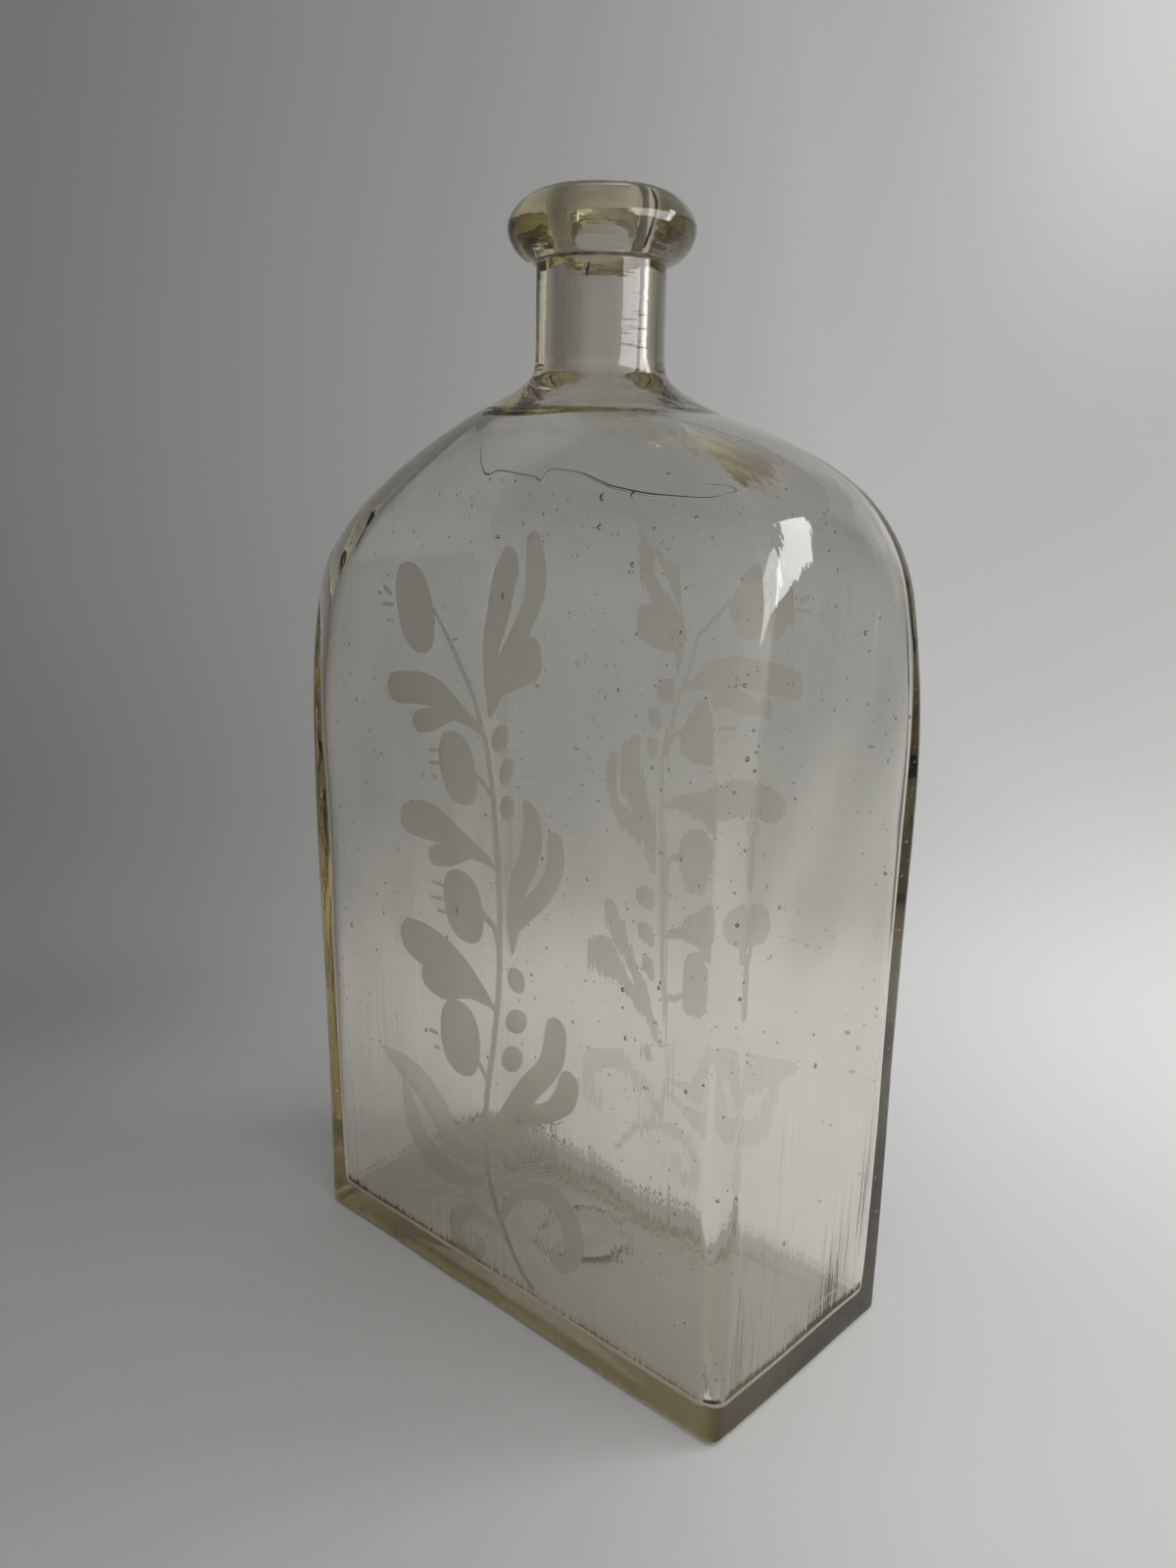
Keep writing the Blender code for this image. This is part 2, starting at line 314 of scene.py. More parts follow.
def body_size(height):
    """Half width, half depth and roundness of the outside at a height, up to the crease."""
    rise = np.minimum(height / TAPER_HEIGHT, 1)
    half_width = (BODY_WIDTH - BASE_WIDTH_LOSS * (1 - rise)) / 2
    half_depth = (BODY_DEPTH - BASE_DEPTH_LOSS * (1 - rise)) / 2
    across = (height - WALL_HEIGHT) / SHOULDER_RISE
    half_width = arch(half_width, CREASE_RADIUS, across, WIDTH_POWERS)
    deep = (height - DEPTH_START) / (CREASE_HEIGHT - DEPTH_START)
    half_depth = arch(half_depth, CREASE_RADIUS, deep, DEPTH_POWERS)
    return half_width, half_depth, share_between(height, FADE_START, CREASE_HEIGHT) ** FADE_POWER


def corner_at(height, base_radius, radius):
    return blend(base_radius, radius, np.minimum(height / CORNER_GROWTH_HEIGHT, 1))


def outer_corner(height):
    return corner_at(height, BASE_CORNER_RADIUS, CORNER_RADIUS)


def inner_corner(height):
    return corner_at(height, BASE_INNER_CORNER_RADIUS, INNER_CORNER_RADIUS)


def skew_at(height):
    rise = share_between(height, WALL_HEIGHT, CREASE_HEIGHT)
    return SHOULDER_SKEW * np.sin(math.pi * rise**SKEW_POWER)


def wall_at(height):
    thin = SHOULDER_WALL_LOSS * share_between(height, *SHOULDER_THIN)
    return WALL - thin + HEEL_WALL_GAIN * np.maximum(1 - height / HEEL_WALL_HEIGHT, 0) ** 2


# Hand-made unevenness, as waves over the surface: (length in mm along x, y, z; height in mm; phase)
OUTER_WAVES = (
    ((48, 60, 80), 0.09, 0.4),
    ((-31, 45, 60), 0.04, 2.1),
    ((22, -30, 75), 0.02, 4.4),
    ((13, 17, -110), 0.008, 1.3),
)
INNER_WAVES = (
    ((45, 38, -70), 0.11, 1.0),
    ((21, -26, 48), 0.04, 3.0),
    ((-13, 16, 90), 0.018, 0.2),
    ((9, -11, 160), 0.008, 2.6),
)

# How far the waves lower the outside at most
OUTER_DIP = 2 * sum(size for _, size, _ in OUTER_WAVES) * MM


def waves(x, y, z, table):
    total = 0
    for lengths, size, phase in table:
        turn = phase
        for value, length in zip((x, y, z), lengths):
            turn = turn + 2 * math.pi * value / (length * MM)
        total = total + size * MM * np.sin(turn)
    return total


def lowered_waves(x, y, z, table):
    """Waves that stay below the plain surface, so that nothing leaves the part's box."""
    return waves(x, y, z, table) - sum(size for _, size, _ in table) * MM


def ring(shares, half_width, half_depth, corner, roundness, height, wave=1.0, table=OUTER_WAVES, skew=0.0):
    """Points at places round a section, as an array of x, y, z, lowered by so much of the waves."""
    x, y = section(shares, half_width, half_depth, corner, roundness)
    low = lowered_waves(x, y, height, table) * wave
    x, y = section(shares, half_width + low, half_depth + low, corner, roundness)
    z = height + skew * x / (BODY_WIDTH / 2)
    return np.stack(np.broadcast_arrays(x, y, z), -1)


def outer_wall(shares, height):
    """Points of the outside between the heel and the crease."""
    half_width, half_depth, roundness = body_size(height)
    return ring(
        shares, half_width, half_depth, outer_corner(height), roundness, height, skew=skew_at(height)
    )


def spaced(start, end, spacing):
    """Heights after start up to end, about spacing apart."""
    count = max(int(round(abs(end - start) / spacing)), 1)
    return [start + (end - start) * (step + 1) / count for step in range(count)]


def underside(shares):
    rings = []
    inner = PONTIL_RADIUS - PONTIL_RIDGE
    for share in (0.25, 0.5, 0.75, 1):
        rings.append(ring(shares, inner * share, inner * share, 0, 1, PUSH_UP, 0))
    one_wave, other_wave = PONTIL_WAVES
    rough = blend(PONTIL_EVEN_SHARE, 1, np.sin(shares * one_wave) * np.sin(shares * other_wave + 1))
    for step in range(1, TURN_STEPS):
        share = step / TURN_STEPS
        radius = inner + PONTIL_RIDGE * share
        x, y = section(shares, radius, radius, 0, 1)
        z = PUSH_UP - PONTIL_DEPTH * math.sin(math.pi * share) * rough
        rings.append(np.stack([x, y, z], -1))
    half_width, half_depth, _ = body_size(0)
    half_width -= REST_BAND
    half_depth -= REST_BAND
    for step in range(UNDER_STEPS + 1):
        share = step / UNDER_STEPS
        height = PUSH_UP * (1 + math.cos(share * math.pi)) / 2
        width = blend(PONTIL_RADIUS, half_width, share)
        depth = blend(PONTIL_RADIUS, half_depth, share)
        rings.append(ring(shares, width, depth, min(BASE_CORNER_RADIUS, depth), 1 - share, height, 0))
    return rings


def heel(shares):
    rings = []
    for step in range(TURN_STEPS + 1):
        angle = step / TURN_STEPS * math.pi / 2
        height = HEEL_RADIUS * (1 - math.cos(angle))
        inset = HEEL_RADIUS * (1 - math.sin(angle))
        half_width, half_depth, _ = body_size(height)
        rings.append(ring(shares, half_width - inset, half_depth - inset, outer_corner(0), 0, height))
    return rings


def wall_heights(start):
    heights = spaced(start, DEPTH_START, ROW_SPACING)
    for height in spaced(DEPTH_START, CREASE_HEIGHT, SHOULDER_ROW_SPACING):
        share = share_between(height, DEPTH_START, CREASE_HEIGHT)
        heights.append(blend(DEPTH_START, CREASE_HEIGHT, math.sin(share * math.pi / 2)))
    return heights


def soften(rings, middle, times):
    """Rounds off the bend at a ring."""
    for _ in range(times):
        before = [points.copy() for points in rings]
        for index in range(middle - SOFT_REACH, middle + SOFT_REACH + 1):
            rings[index] = (before[index - 1] + 2 * before[index] + before[index + 1]) / 4


def flare(shares):
    rings = []
    for height in spaced(CREASE_HEIGHT, NECK_FOOT, FLARE_ROW_SPACING):
        share = share_between(height, CREASE_HEIGHT, NECK_FOOT)
        radius = blend(NECK_RADIUS, CREASE_RADIUS, (1 - share) ** FLARE_POWER)
        rings.append(ring(shares, radius, radius, 0, 1, height))
    return rings


def neck_and_rim(shares):
    rings = []
    for height in spaced(NECK_FOOT, MOUTH_HEIGHT - RIM_OUTER_RADIUS, ROW_SPACING):
        rings.append(ring(shares, NECK_RADIUS, NECK_RADIUS, 0, 1, height))
    edge = NECK_RADIUS - RIM_OUTER_RADIUS
    rings.append(ring(shares, edge, edge, 0, 1, MOUTH_HEIGHT))
    for step in range(TURN_STEPS + 1):
        angle = step / TURN_STEPS * math.pi / 2
        radius = BORE_RADIUS + RIM_RADIUS * (1 - math.sin(angle))
        height = MOUTH_HEIGHT - RIM_RADIUS * (1 - math.cos(angle))
        rings.append(ring(shares, radius, radius, 0, 1, height, 1, INNER_WAVES))
    return rings


def bore(shares):
    """The bore, from the rim down, and the cone under it."""
    rings = []
    for height in spaced(MOUTH_HEIGHT - RIM_RADIUS, BORE_END, ROW_SPACING):
        rings.append(ring(shares, BORE_RADIUS, BORE_RADIUS, 0, 1, height, 1, INNER_WAVES))
    low = CREASE_HEIGHT - SHOULDER_DROP
    for step in range(1, CONE_STEPS + 1):
        share = step / CONE_STEPS
        radius = blend(BORE_RADIUS, CREASE_RADIUS - WALL, share**BORE_FLARE_POWER)
        rings.append(ring(shares, radius, radius, 0, 1, blend(BORE_END, low, share), 1, INNER_WAVES))
    return rings


def inner_walls(shares):
    """The inside from the shoulders down to the heel."""
    rings = []
    bottom = BASE_THICKNESS + INNER_HEEL_RADIUS
    for height in reversed([bottom] + wall_heights(bottom)[:-1]):
        low = height - SHOULDER_DROP * share_between(height, FADE_START, CREASE_HEIGHT)
        half_width, half_depth, roundness = body_size(height)
        wall = wall_at(low)
        points = ring(
            shares, half_width - wall, half_depth - wall, inner_corner(low), roundness,
            low, 1, INNER_WAVES, skew_at(height),
        )
        away = (points[:, :2] - SAG_MIDDLE) / SAG_REACH
        points[:, 2] -= SAG_DEPTH * share_between(height, *SAG_HEIGHTS) * np.exp(-(away**2).sum(1))
        rings.append(points)
    return rings


def inner_floor(shares):
    """The inner heel and the floor, up to its middle."""
    rings = []
    half_width, half_depth, _ = body_size(BASE_THICKNESS)
    half_width -= wall_at(BASE_THICKNESS)
    half_depth -= wall_at(BASE_THICKNESS)
    corner = inner_corner(BASE_THICKNESS)
    for step in range(1, TURN_STEPS + 1):
        angle = step / TURN_STEPS * math.pi / 2
        inset = INNER_HEEL_RADIUS * (1 - math.cos(angle))
        height = BASE_THICKNESS + INNER_HEEL_RADIUS * (1 - math.sin(angle))
        rings.append(
            ring(shares, half_width - inset, half_depth - inset, corner, 0, height, 1, INNER_WAVES)
        )
    half_width -= INNER_HEEL_RADIUS
    half_depth -= INNER_HEEL_RADIUS
    for step in range(1, UNDER_STEPS + 1):
        share = step / UNDER_STEPS * FLOOR_REACH_SHARE
        height = BASE_THICKNESS + FLOOR_RISE * (1 - math.cos(share * math.pi)) / 2
        width = blend(half_width, 0, share)
        depth = blend(half_depth, 0, share)
        points = ring(shares, width, depth, min(corner, depth), share, height, 1 - share, INNER_WAVES)
        points[:, 2] += waves(points[:, 0], points[:, 1], points[:, 2], INNER_WAVES)
        rings.append(points)
    return rings


# The engraved spray, as strokes over the photograph: (x, y, half width) in pixels of the picture
STEM = (
    (442, 623, 1.5), (459, 655, 2), (472, 685, 2.2), (482, 709, 2.2), (490, 738, 2.2), (497, 768, 2.4),
    (503, 818, 2.6), (506, 864, 2.8), (509, 918, 2.8), (509, 960, 2.8), (508, 1010, 2.8), (503, 1068, 2.6),
    (498, 1105, 2.5), (495, 1150, 2.3), (498, 1197, 2.2), (505, 1229, 2.1), (516, 1262, 2.1),
    (529, 1293, 2.2), (542, 1314, 2.2),
)
LEAF_STROKES = (
    ((404, 701, 16), (426, 702, 15.6), (447, 709, 12), (466, 726, 8), (482, 738, 4.5), (492, 749, 2)),
    ((427, 736, 12), (439, 734, 12.4), (453, 730, 8.8), (466, 727, 6.4)),
    ((419, 835, 16), (434, 837, 17), (450, 845, 13), (465, 855, 8.4), (480, 867, 7.3), (494, 876, 4.6),
     (504, 886, 1.8)),
    ((444, 873, 10.7), (456, 873, 11.3), (470, 872, 8.4), (480, 869, 7)),
    ((421, 957, 15), (436, 966, 17), (453, 976, 14.5), (470, 990, 10.7), (483, 1005, 7.7),
     (495, 1019, 4.5), (503, 1029, 2)),
    ((439, 997, 11), (451, 1003, 13), (466, 1008, 9.5), (480, 1011, 6.9), (495, 1021, 4)),
    ((519, 569, 8.3), (518, 578, 11.2), (513, 596, 12), (507, 629, 10.8), (501, 658, 8.6),
     (500, 684, 7.2), (500, 708, 5.1), (500, 731, 2)),
    ((544, 553, 7.7), (546, 580, 10.2), (545, 604, 9.9), (537, 629, 9.1), (527, 652, 9.1),
     (516, 676, 8.9), (508, 700, 7.2), (501, 728, 2.2)),
    ((542, 663, 9.6), (540, 679, 12.5), (528, 692, 9.6), (514, 701, 7.2)),
    ((538, 824, 5.4), (542, 834, 7.7), (543, 857, 10.1), (538, 880, 10.1), (529, 903, 9.2),
     (525, 922, 8), (523, 948, 6.4), (522, 973, 1.2)),
    ((566, 860, 7.7), (567, 880, 8.7), (562, 899, 8.9), (551, 916, 9.8), (537, 930, 9.5), (528, 942, 6.9)),
    ((567, 1053, 10.7), (564, 1077, 11.5), (556, 1094, 11.8), (540, 1111, 12.2), (527, 1129, 11.5),
     (515, 1145, 9.6), (504, 1158, 5.2)),
    ((580, 1107, 10.7), (575, 1123, 12.6), (561, 1135, 11.1), (542, 1138, 10.2), (529, 1140, 9.2)),
)
# Strokes that are cut only lightly
LIGHT_STROKES = (
    ((390, 1068, 1.5), (411, 1086, 8), (431, 1108, 10), (448, 1136, 10), (463, 1168, 8), (485, 1184, 3),
     (494, 1189, 1.5)),
    ((413, 1101, 3), (420, 1136, 7), (431, 1166, 8), (450, 1188, 9), (474, 1203, 6), (494, 1205, 2)),
)
FINE_STROKES = (
    ((485, 794, 2.6), (493, 799, 2.2), (499, 811, 2)),
    ((491, 933, 3.2), (502, 945, 2.4), (506, 958, 2.2), (508, 973, 2)),
    ((483, 1087, 2.4), (488, 1085, 2.2), (493, 1094, 2), (498, 1105, 2)),
    ((391, 599, 1.6), (397, 606, 1.6)),
    ((390, 616, 1.8), (400, 617, 1.8)),
    ((394, 632, 1.6), (399, 633, 1.6)),
    ((437, 765, 1.5), (447, 766, 1.7)),
    ((438, 778, 1.5), (447, 779, 1.9)),
    ((440, 792, 2.2), (444, 793, 2.2)),
    ((441, 900, 1.5), (450, 903, 1.8)),
    ((440, 915, 1.5), (450, 917, 1.8)),
    ((447, 929, 1.5), (453, 931, 1.7)),
    ((438, 1051, 1.6), (445, 1054, 1.8)),
    ((443, 1068, 1.5), (447, 1069, 1.5)),
    ((548, 1145, 1.2), (564, 1147, 1.4), (575, 1145, 1.2)),
)
SCROLL_STROKES = (
    ((512, 1258, 3), (498, 1247, 4.5), (485, 1238, 5.5), (474, 1236, 7), (466, 1243, 7), (466, 1258, 5),
     (473, 1273, 5), (485, 1279, 6), (491, 1271, 4.5), (485, 1262, 2.5)),
    ((510, 1247, 3.5), (518, 1229, 5), (536, 1218, 6.5), (557, 1220, 8.5), (573, 1234, 9.5),
     (584, 1258, 9.5), (584, 1282, 9), (572, 1293, 6.5), (564, 1282, 4), (571, 1269, 2)),
)
# Fruits and beads: (x, y, half width, half height, how far its top leans to the right)
OVALS = (
    (422, 620, 18.8, 46, -5),
    (466, 784, 18.7, 36.5, -4),
    (472, 925, 19.1, 35.5, -3),
    (469, 1059, 19, 37.5, 0),
    (510, 754, 7.8, 15, 3),
    (516, 788, 6.6, 14, 3),
    (517, 825, 7, 13, 1),
    (526, 1001, 8.5, 12.5, 0),
    (526, 1043, 9.5, 13, 4),
    (522, 1081, 9.3, 14, 4),
    (521, 1186, 7.5, 10, 2),
)
CUT_DEPTH = 0.1 * MM
CUT_SLOPE = 1.0 * MM
LIGHT_CUT = 0.62
FINEST_CUT = 0.12 * MM
STROKE_STEP = 0.55 * MM
CAP_POINTS = 5
OVAL_POINTS = 26
OVAL_SQUARENESS = 2.35
OVAL_RING_SHARES = (0.45, 0.8)
OVAL_RING_POINTS = 12
DISCS_AT_ONCE = 200


def onto_front(u, v):
    """x and z in metres where a pixel of the photograph meets the front face."""
    sight = np.array([(u - PICTURE_WIDTH / 2) / FOCAL_PIXELS, (PICTURE_HEIGHT / 2 - v) / FOCAL_PIXELS, 1.0])
    sight = CAMERA_AXES.T @ sight
    face = -BODY_DEPTH / 2
    for _ in range(5):
        place = np.array(CAMERA_PLACE) + sight * (face - CAMERA_PLACE[1]) / sight[1]
        face = -body_size(max(place[2], 0))[1]
    return place[[0, 2]]


def smooth_line(points, spacing):
    """(x, z, half width) along a Catmull-Rom curve through the points."""
    points = np.array(points)
    padded = np.vstack([2 * points[0] - points[1], points, 2 * points[-1] - points[-2]])
    line = []
    for a, b, c, d in zip(padded, padded[1:], padded[2:], padded[3:]):
        count = max(int(np.linalg.norm((c - b)[:2]) / spacing), 1)
        for step in range(count):
            t = step / count
            bend = (2 * a - 5 * b + 4 * c - d) * t**2 + (3 * b - a - 3 * c + d) * t**3
            line.append(0.5 * (2 * b + (c - a) * t + bend))
    line.append(points[-1])
    line = np.array(line)
    line[:, 2] = np.maximum(line[:, 2], FINEST_CUT)
    return line


def stroke_on_face(stroke):
    """A stroke in pixels as (x, z, half width) in metres: the width is measured across the stroke."""
    stroke = np.array(stroke, float)
    along = np.gradient(stroke[:, :2], axis=0)
    along /= np.linalg.norm(along, axis=1)[:, None]
    across = np.stack([-along[:, 1], along[:, 0]], -1)
    placed = []
    for (u, v, half), (du, dv) in zip(stroke, across):
        one = onto_front(u + half * du, v + half * dv)
        other = onto_front(u - half * du, v - half * dv)
        placed.append((*(one + other) / 2, np.linalg.norm(one - other) / 2))
    return smooth_line(placed, STROKE_STEP)


def stroke_outline(line):
    """A closed outline round a tapering stroke, with round ends."""
    along = np.gradient(line[:, :2], axis=0)
    along /= np.linalg.norm(along, axis=1)[:, None]
    across = np.stack([-along[:, 1], along[:, 0]], -1)
    half = line[:, 2:3]
    left = line[:, :2] + across * half
    right = line[:, :2] - across * half
    caps = []
    for index, sign in ((-1, 1), (0, -1)):
        cap = []
        for step in range(1, CAP_POINTS):
            angle = step / CAP_POINTS * math.pi
            turn = across[index] * math.cos(angle) * sign + along[index] * math.sin(angle) * sign
            cap.append(line[index, :2] + turn * half[index])
        caps.append(np.array(cap))
    return np.vstack([left[:-1], left[-1:], caps[0], right[::-1], caps[1]])


def oval_on_face(oval):
    """(centre, half width, half height, lean) of an oval in metres."""
    u, v, half_width, half_height, lean = oval
    centre = onto_front(u, v)
    wide = np.linalg.norm(onto_front(u + half_width, v) - onto_front(u - half_width, v)) / 2
    tall = np.linalg.norm(onto_front(u, v + half_height) - onto_front(u, v - half_height)) / 2
    return centre, wide, tall, (onto_front(u + lean, v)[0] - centre[0]) / tall


def squared(value):
    """Swells a sine or cosine, so that an oval drawn with it is a little square."""
    return np.sign(value) * np.abs(value) ** (2 / OVAL_SQUARENESS)


def away_from(discs, x, z):
    """How far points lie outside a row of discs."""
    best = np.full(x.shape, 1.0)
    for start in range(0, len(discs), DISCS_AT_ONCE):
        block = discs[start : start + DISCS_AT_ONCE]
        away = np.hypot(x[:, None] - block[:, 0], z[:, None] - block[:, 1]) - block[:, 2]
        best = np.minimum(best, away.min(1))
    return best


class Spray:
    """The engraved figure on a face, in metres of the front face: x to the right and z up."""

    def __init__(self):
        light = LIGHT_STROKES + SCROLL_STROKES
        strokes = (STEM,) + LEAF_STROKES + FINE_STROKES + light
        self.lines = [stroke_on_face(stroke) for stroke in strokes]
        self.ovals = [oval_on_face(oval) for oval in OVALS]
        self.discs = np.vstack(self.lines)
        self.light_discs = np.vstack(self.lines[-len(light):])

    def outlines(self):
        loops = [stroke_outline(line) for line in self.lines]
        for centre, wide, tall, lean in self.ovals:
            angle = np.arange(OVAL_POINTS) / OVAL_POINTS * 2 * math.pi
            z = squared(np.sin(angle)) * tall
            x = squared(np.cos(angle)) * wide
            loops.append(np.stack([centre[0] + x + lean * z, centre[1] + z], -1))
        return loops

    def inner_points(self):
        """Points inside the wide strokes and the ovals, so that their hollow is met by the mesh."""
        points = [line[line[:, 2] > CUT_SLOPE / 2][::2, :2] for line in self.lines]
        angle = steps(0, 2 * math.pi, OVAL_RING_POINTS)
        for centre, wide, tall, lean in self.ovals:
            points.append([centre])
            for share in OVAL_RING_SHARES:
                z = np.sin(angle) * tall * share
                x = np.cos(angle) * wide * share + lean * z
                points.append(np.stack([centre[0] + x, centre[1] + z], -1))
        return np.vstack(points)

    def distance(self, x, z):
        """How far points lie outside the cut, in metres. Inside it is below zero."""
        best = away_from(self.discs, x, z)
        for centre, wide, tall, lean in self.ovals:
            dz = z - centre[1]
            dx = x - centre[0] - lean * dz
            reach = np.abs(dx / wide) ** OVAL_SQUARENESS + np.abs(dz / tall) ** OVAL_SQUARENESS
            best = np.minimum(best, (reach ** (1 / OVAL_SQUARENESS) - 1) * min(wide, tall))
        return best

    def strength(self, x, z):
        """0 on clear glass, 1 in the cut and less where it is light."""
        light = away_from(self.light_discs, x, z) < 0
        return np.where(self.distance(x, z) < 0, np.where(light, LIGHT_CUT, 1.0), 0.0)

    def depth(self, x, z):
        share = np.clip(-self.distance(x, z) / CUT_SLOPE, 0, 1)
        return CUT_DEPTH * share**2 * (3 - 2 * share)


# The wide faces, by the place of their middle round a section, and their reach to each side of it
FACES = {"front": 3.0, "back": 1.0}
SIDE_SPAN = 0.25
FACE_TURN = math.pi / 2 * SIDE_SPAN

# The part of a face whose triangles follow the figure
PATCH_SIDE = 0.86
PATCH_LOW = 4 * MM
PATCH_HIGH = 174 * MM
CLEAR_OF_CUT = 0.5 * MM
DEEP_IN_CUT = 0.9 * MM
NORMAL_STEP = 0.15 * MM
MERGE_DISTANCE = 1e-4


def face_reach(height):
    """How x grows with the place across a wide face, and how it bends, at a height."""
    half_width, _, roundness = body_size(height)
    return (1 - roundness) * (half_width - outer_corner(height)), roundness * half_width


def face_x(place, height):
    straight, bent = face_reach(height)
    return straight * place + bent * np.sin(place * FACE_TURN)


def to_face(x, z):
    """Place across the face, from -1 to 1, and ring height of a point on the front face."""
    height = z - skew_at(z) * x / (BODY_WIDTH / 2)
    height = z - skew_at(height) * x / (BODY_WIDTH / 2)
    straight, bent = face_reach(height)
    place = x / (straight + bent * FACE_TURN)
    for _ in range(3):
        slope = straight + bent * FACE_TURN * np.cos(place * FACE_TURN)
        place = place + (x - face_x(place, height)) / slope
    return place, height


class Mesh:
    """Points gathered from grids, patches and bubbles, and the normals that some of them are given."""

    def __init__(self):
        self.points = []
        self.count = 0
        self.normals = {}

    def add(self, points):
        """Takes in points and returns their numbers."""
        start = self.count
        self.points.append(np.asarray(points, float))
        self.count += len(points)
        return np.arange(start, self.count)


def cut_surface(spray, face, place, height):
    """Points of a wide face with the figure cut into it. On the back face it is turned round."""
    points = outer_wall(FACES[face] + place * SIDE_SPAN, height)
    turn = -1 if face == "back" else 1
    points[:, 1] += turn * spray.depth(turn * points[:, 0], points[:, 2])
    return points


def face_patch(build, spray, face, grid, heights, places):
    """Fills the hole left in the grid of a wide face with triangles that follow the figure.

    grid[i, j] is the number of the grid's point at heights[i] and places[j]. Only its border is met.
    Returns the triangles and how strongly each one is ground.
    """
    scale = BODY_WIDTH / 2 - CORNER_RADIUS
    flat = []
    ids = []
    for i, height in enumerate(heights):
        for j, place in enumerate(places):
            if i in (0, len(heights) - 1) or j in (0, len(places) - 1):
                flat.append((place * scale, height))
                ids.append(grid[i, j])
    number = {point: k for k, point in enumerate(ids)}
    border = [*grid[0], *grid[1:, -1], *grid[-1, -2::-1], *grid[-2:0:-1, 0]]
    edges = [(number[a], number[b]) for a, b in zip(border, border[1:] + border[:1])]

    inner = np.array([(place, height) for height in heights[1:-1] for place in places[1:-1]])
    away = spray.distance(face_x(inner[:, 0], inner[:, 1]), inner[:, 1])
    inner = inner[(away > CLEAR_OF_CUT) | (away < -DEEP_IN_CUT)]
    flat += [(place * scale, height) for place, height in inner]
    for loop in spray.outlines():
        place, height = to_face(loop[:, 0], loop[:, 1])
        start, count = len(flat), len(loop)
        flat += list(zip(place * scale, height))
        edges += [(start + k, start + (k + 1) % count) for k in range(count)]
    place, height = to_face(*spray.inner_points().T)
    flat += list(zip(place * scale, height))

    verts, _, tris, origins = geometry.delaunay_2d_cdt(
        [Vector((x / MM, y / MM)) for x, y in flat], edges, [], 0, MERGE_DISTANCE, True
    )[:4]
    known = {k: ids[point] for k, points in enumerate(origins) for point in points if point < len(ids)}
    place = np.array([vert.x * MM / scale for vert in verts])
    height = np.array([vert.y * MM for vert in verts])
    points = cut_surface(spray, face, place, height)
    beside = NORMAL_STEP / scale
    left, right = (cut_surface(spray, face, place + step, height) for step in (-beside, beside))
    low, high = (cut_surface(spray, face, place, height + step) for step in (-NORMAL_STEP, NORMAL_STEP))
    normals = np.cross(right - left, high - low)
    normals /= np.linalg.norm(normals, axis=1)[:, None]

    new = [k for k in range(len(verts)) if k not in known]
    index = np.empty(len(verts), int)
    index[new] = build.add(points[new])
    index[list(known)] = list(known.values())
    build.normals.update(zip(index, normals))
    tris = np.array(tris)
    middle = points[tris].mean(1)
    turn = -1 if face == "back" else 1
    return index[tris], spray.strength(turn * middle[:, 0], middle[:, 2])


# What the faces are marked with: clear glass 0, the ground figure up to 1, and dark dirt
WORN_BASE = 0.5
SOILED = 2.0

# Seeds, with their sizes in mm as radius of the median one, spread, smallest and largest
SEED_DRAW = 7
SEED_COUNT = 1450
SEED_MEDIAN = 0.15
SEED_SPREAD = 0.45
SEED_LIMITS = (0.07, 0.5)
SEED_STRETCH = 1.6
SEED_HEIGHTS = (12, 180)
SEED_HEIGHT_POWER = 0.9
SEED_DEEP = (0.3, 0.7)
SEEDS_IN_FACES_SHARE = 0.66
TUBE_SIDES = 6
TAPER_STEPS = 4
SHARE_LENGTH = 93 * MM
FOLD_DEEP = 0.5
# The fold: (place round the section, height in mm, radius in mm)
FOLD = (
    (2.926, 185.8, 0.14), (2.968, 180.9, 0.16), (2.989, 179.6, 0.20), (3.017, 180.2, 0.16),
    (3.063, 179.5, 0.16), (3.101, 178.8, 0.18), (3.111, 177.9, 0.22), (3.126, 179.3, 0.18),
    (3.149, 179.9, 0.16), (3.197, 179.1, 0.20), (3.223, 177.5, 0.24), (3.250, 176.1, 0.30),
    (3.334, 175.1, 0.34), (3.421, 174.7, 0.26), (3.542, 174.3, 0.20), (3.624, 174.6, 0.16),
    (3.702, 175.3, 0.12), (3.678, 176.1, 0.10), (3.576, 176.5, 0.08),
)
# A dark sliver in the neck's glass under the lip
SLIVER_START = math.radians(-60.5)
SLIVER_TURN = 0.03
SLIVER_HEIGHTS = (216.2 * MM, 218.7 * MM)
SLIVER_RADIUS = 0.3 * MM
SLIVER_STEPS = 8
SLIVER_TAPER = (0.4, 2.8)


def small_ball():
    """A ball of radius 1 with few faces: an octahedron with each face split in four."""
    ball = bmesh.new()
    around = ((1, 0, 0), (0, 1, 0), (-1, 0, 0), (0, -1, 0))
    ends = [ball.verts.new(end) for end in (*around, (0, 0, 1), (0, 0, -1))]
    for step in range(4):
        pair = (ends[step], ends[(step + 1) % 4])
        ball.faces.new((*pair, ends[4]))
        ball.faces.new((pair[1], pair[0], ends[5]))
    bmesh.ops.subdivide_edges(ball, edges=ball.edges[:], cuts=1, use_grid_fill=True)
    bmesh.ops.triangulate(ball, faces=ball.faces[:])
    ball.verts.index_update()
    points = np.array([vert.co.normalized()[:] for vert in ball.verts])
    sides = np.array([[vert.index for vert in face.verts] for face in ball.faces])
    ball.free()
    return points, sides


def through_wall(share, height, deep):
    """Points inside the body's glass, from the outside (deep 0) to the inside (deep 1)."""
    outside = outer_wall(share, height)
    half_width, half_depth, roundness = body_size(height)
    wall = wall_at(height)
    x, y = section(share, half_width - wall, half_depth - wall, inner_corner(height), roundness)
    within = np.stack([x, y, outside[:, 2]], -1)
    return outside + (within - outside) * deep


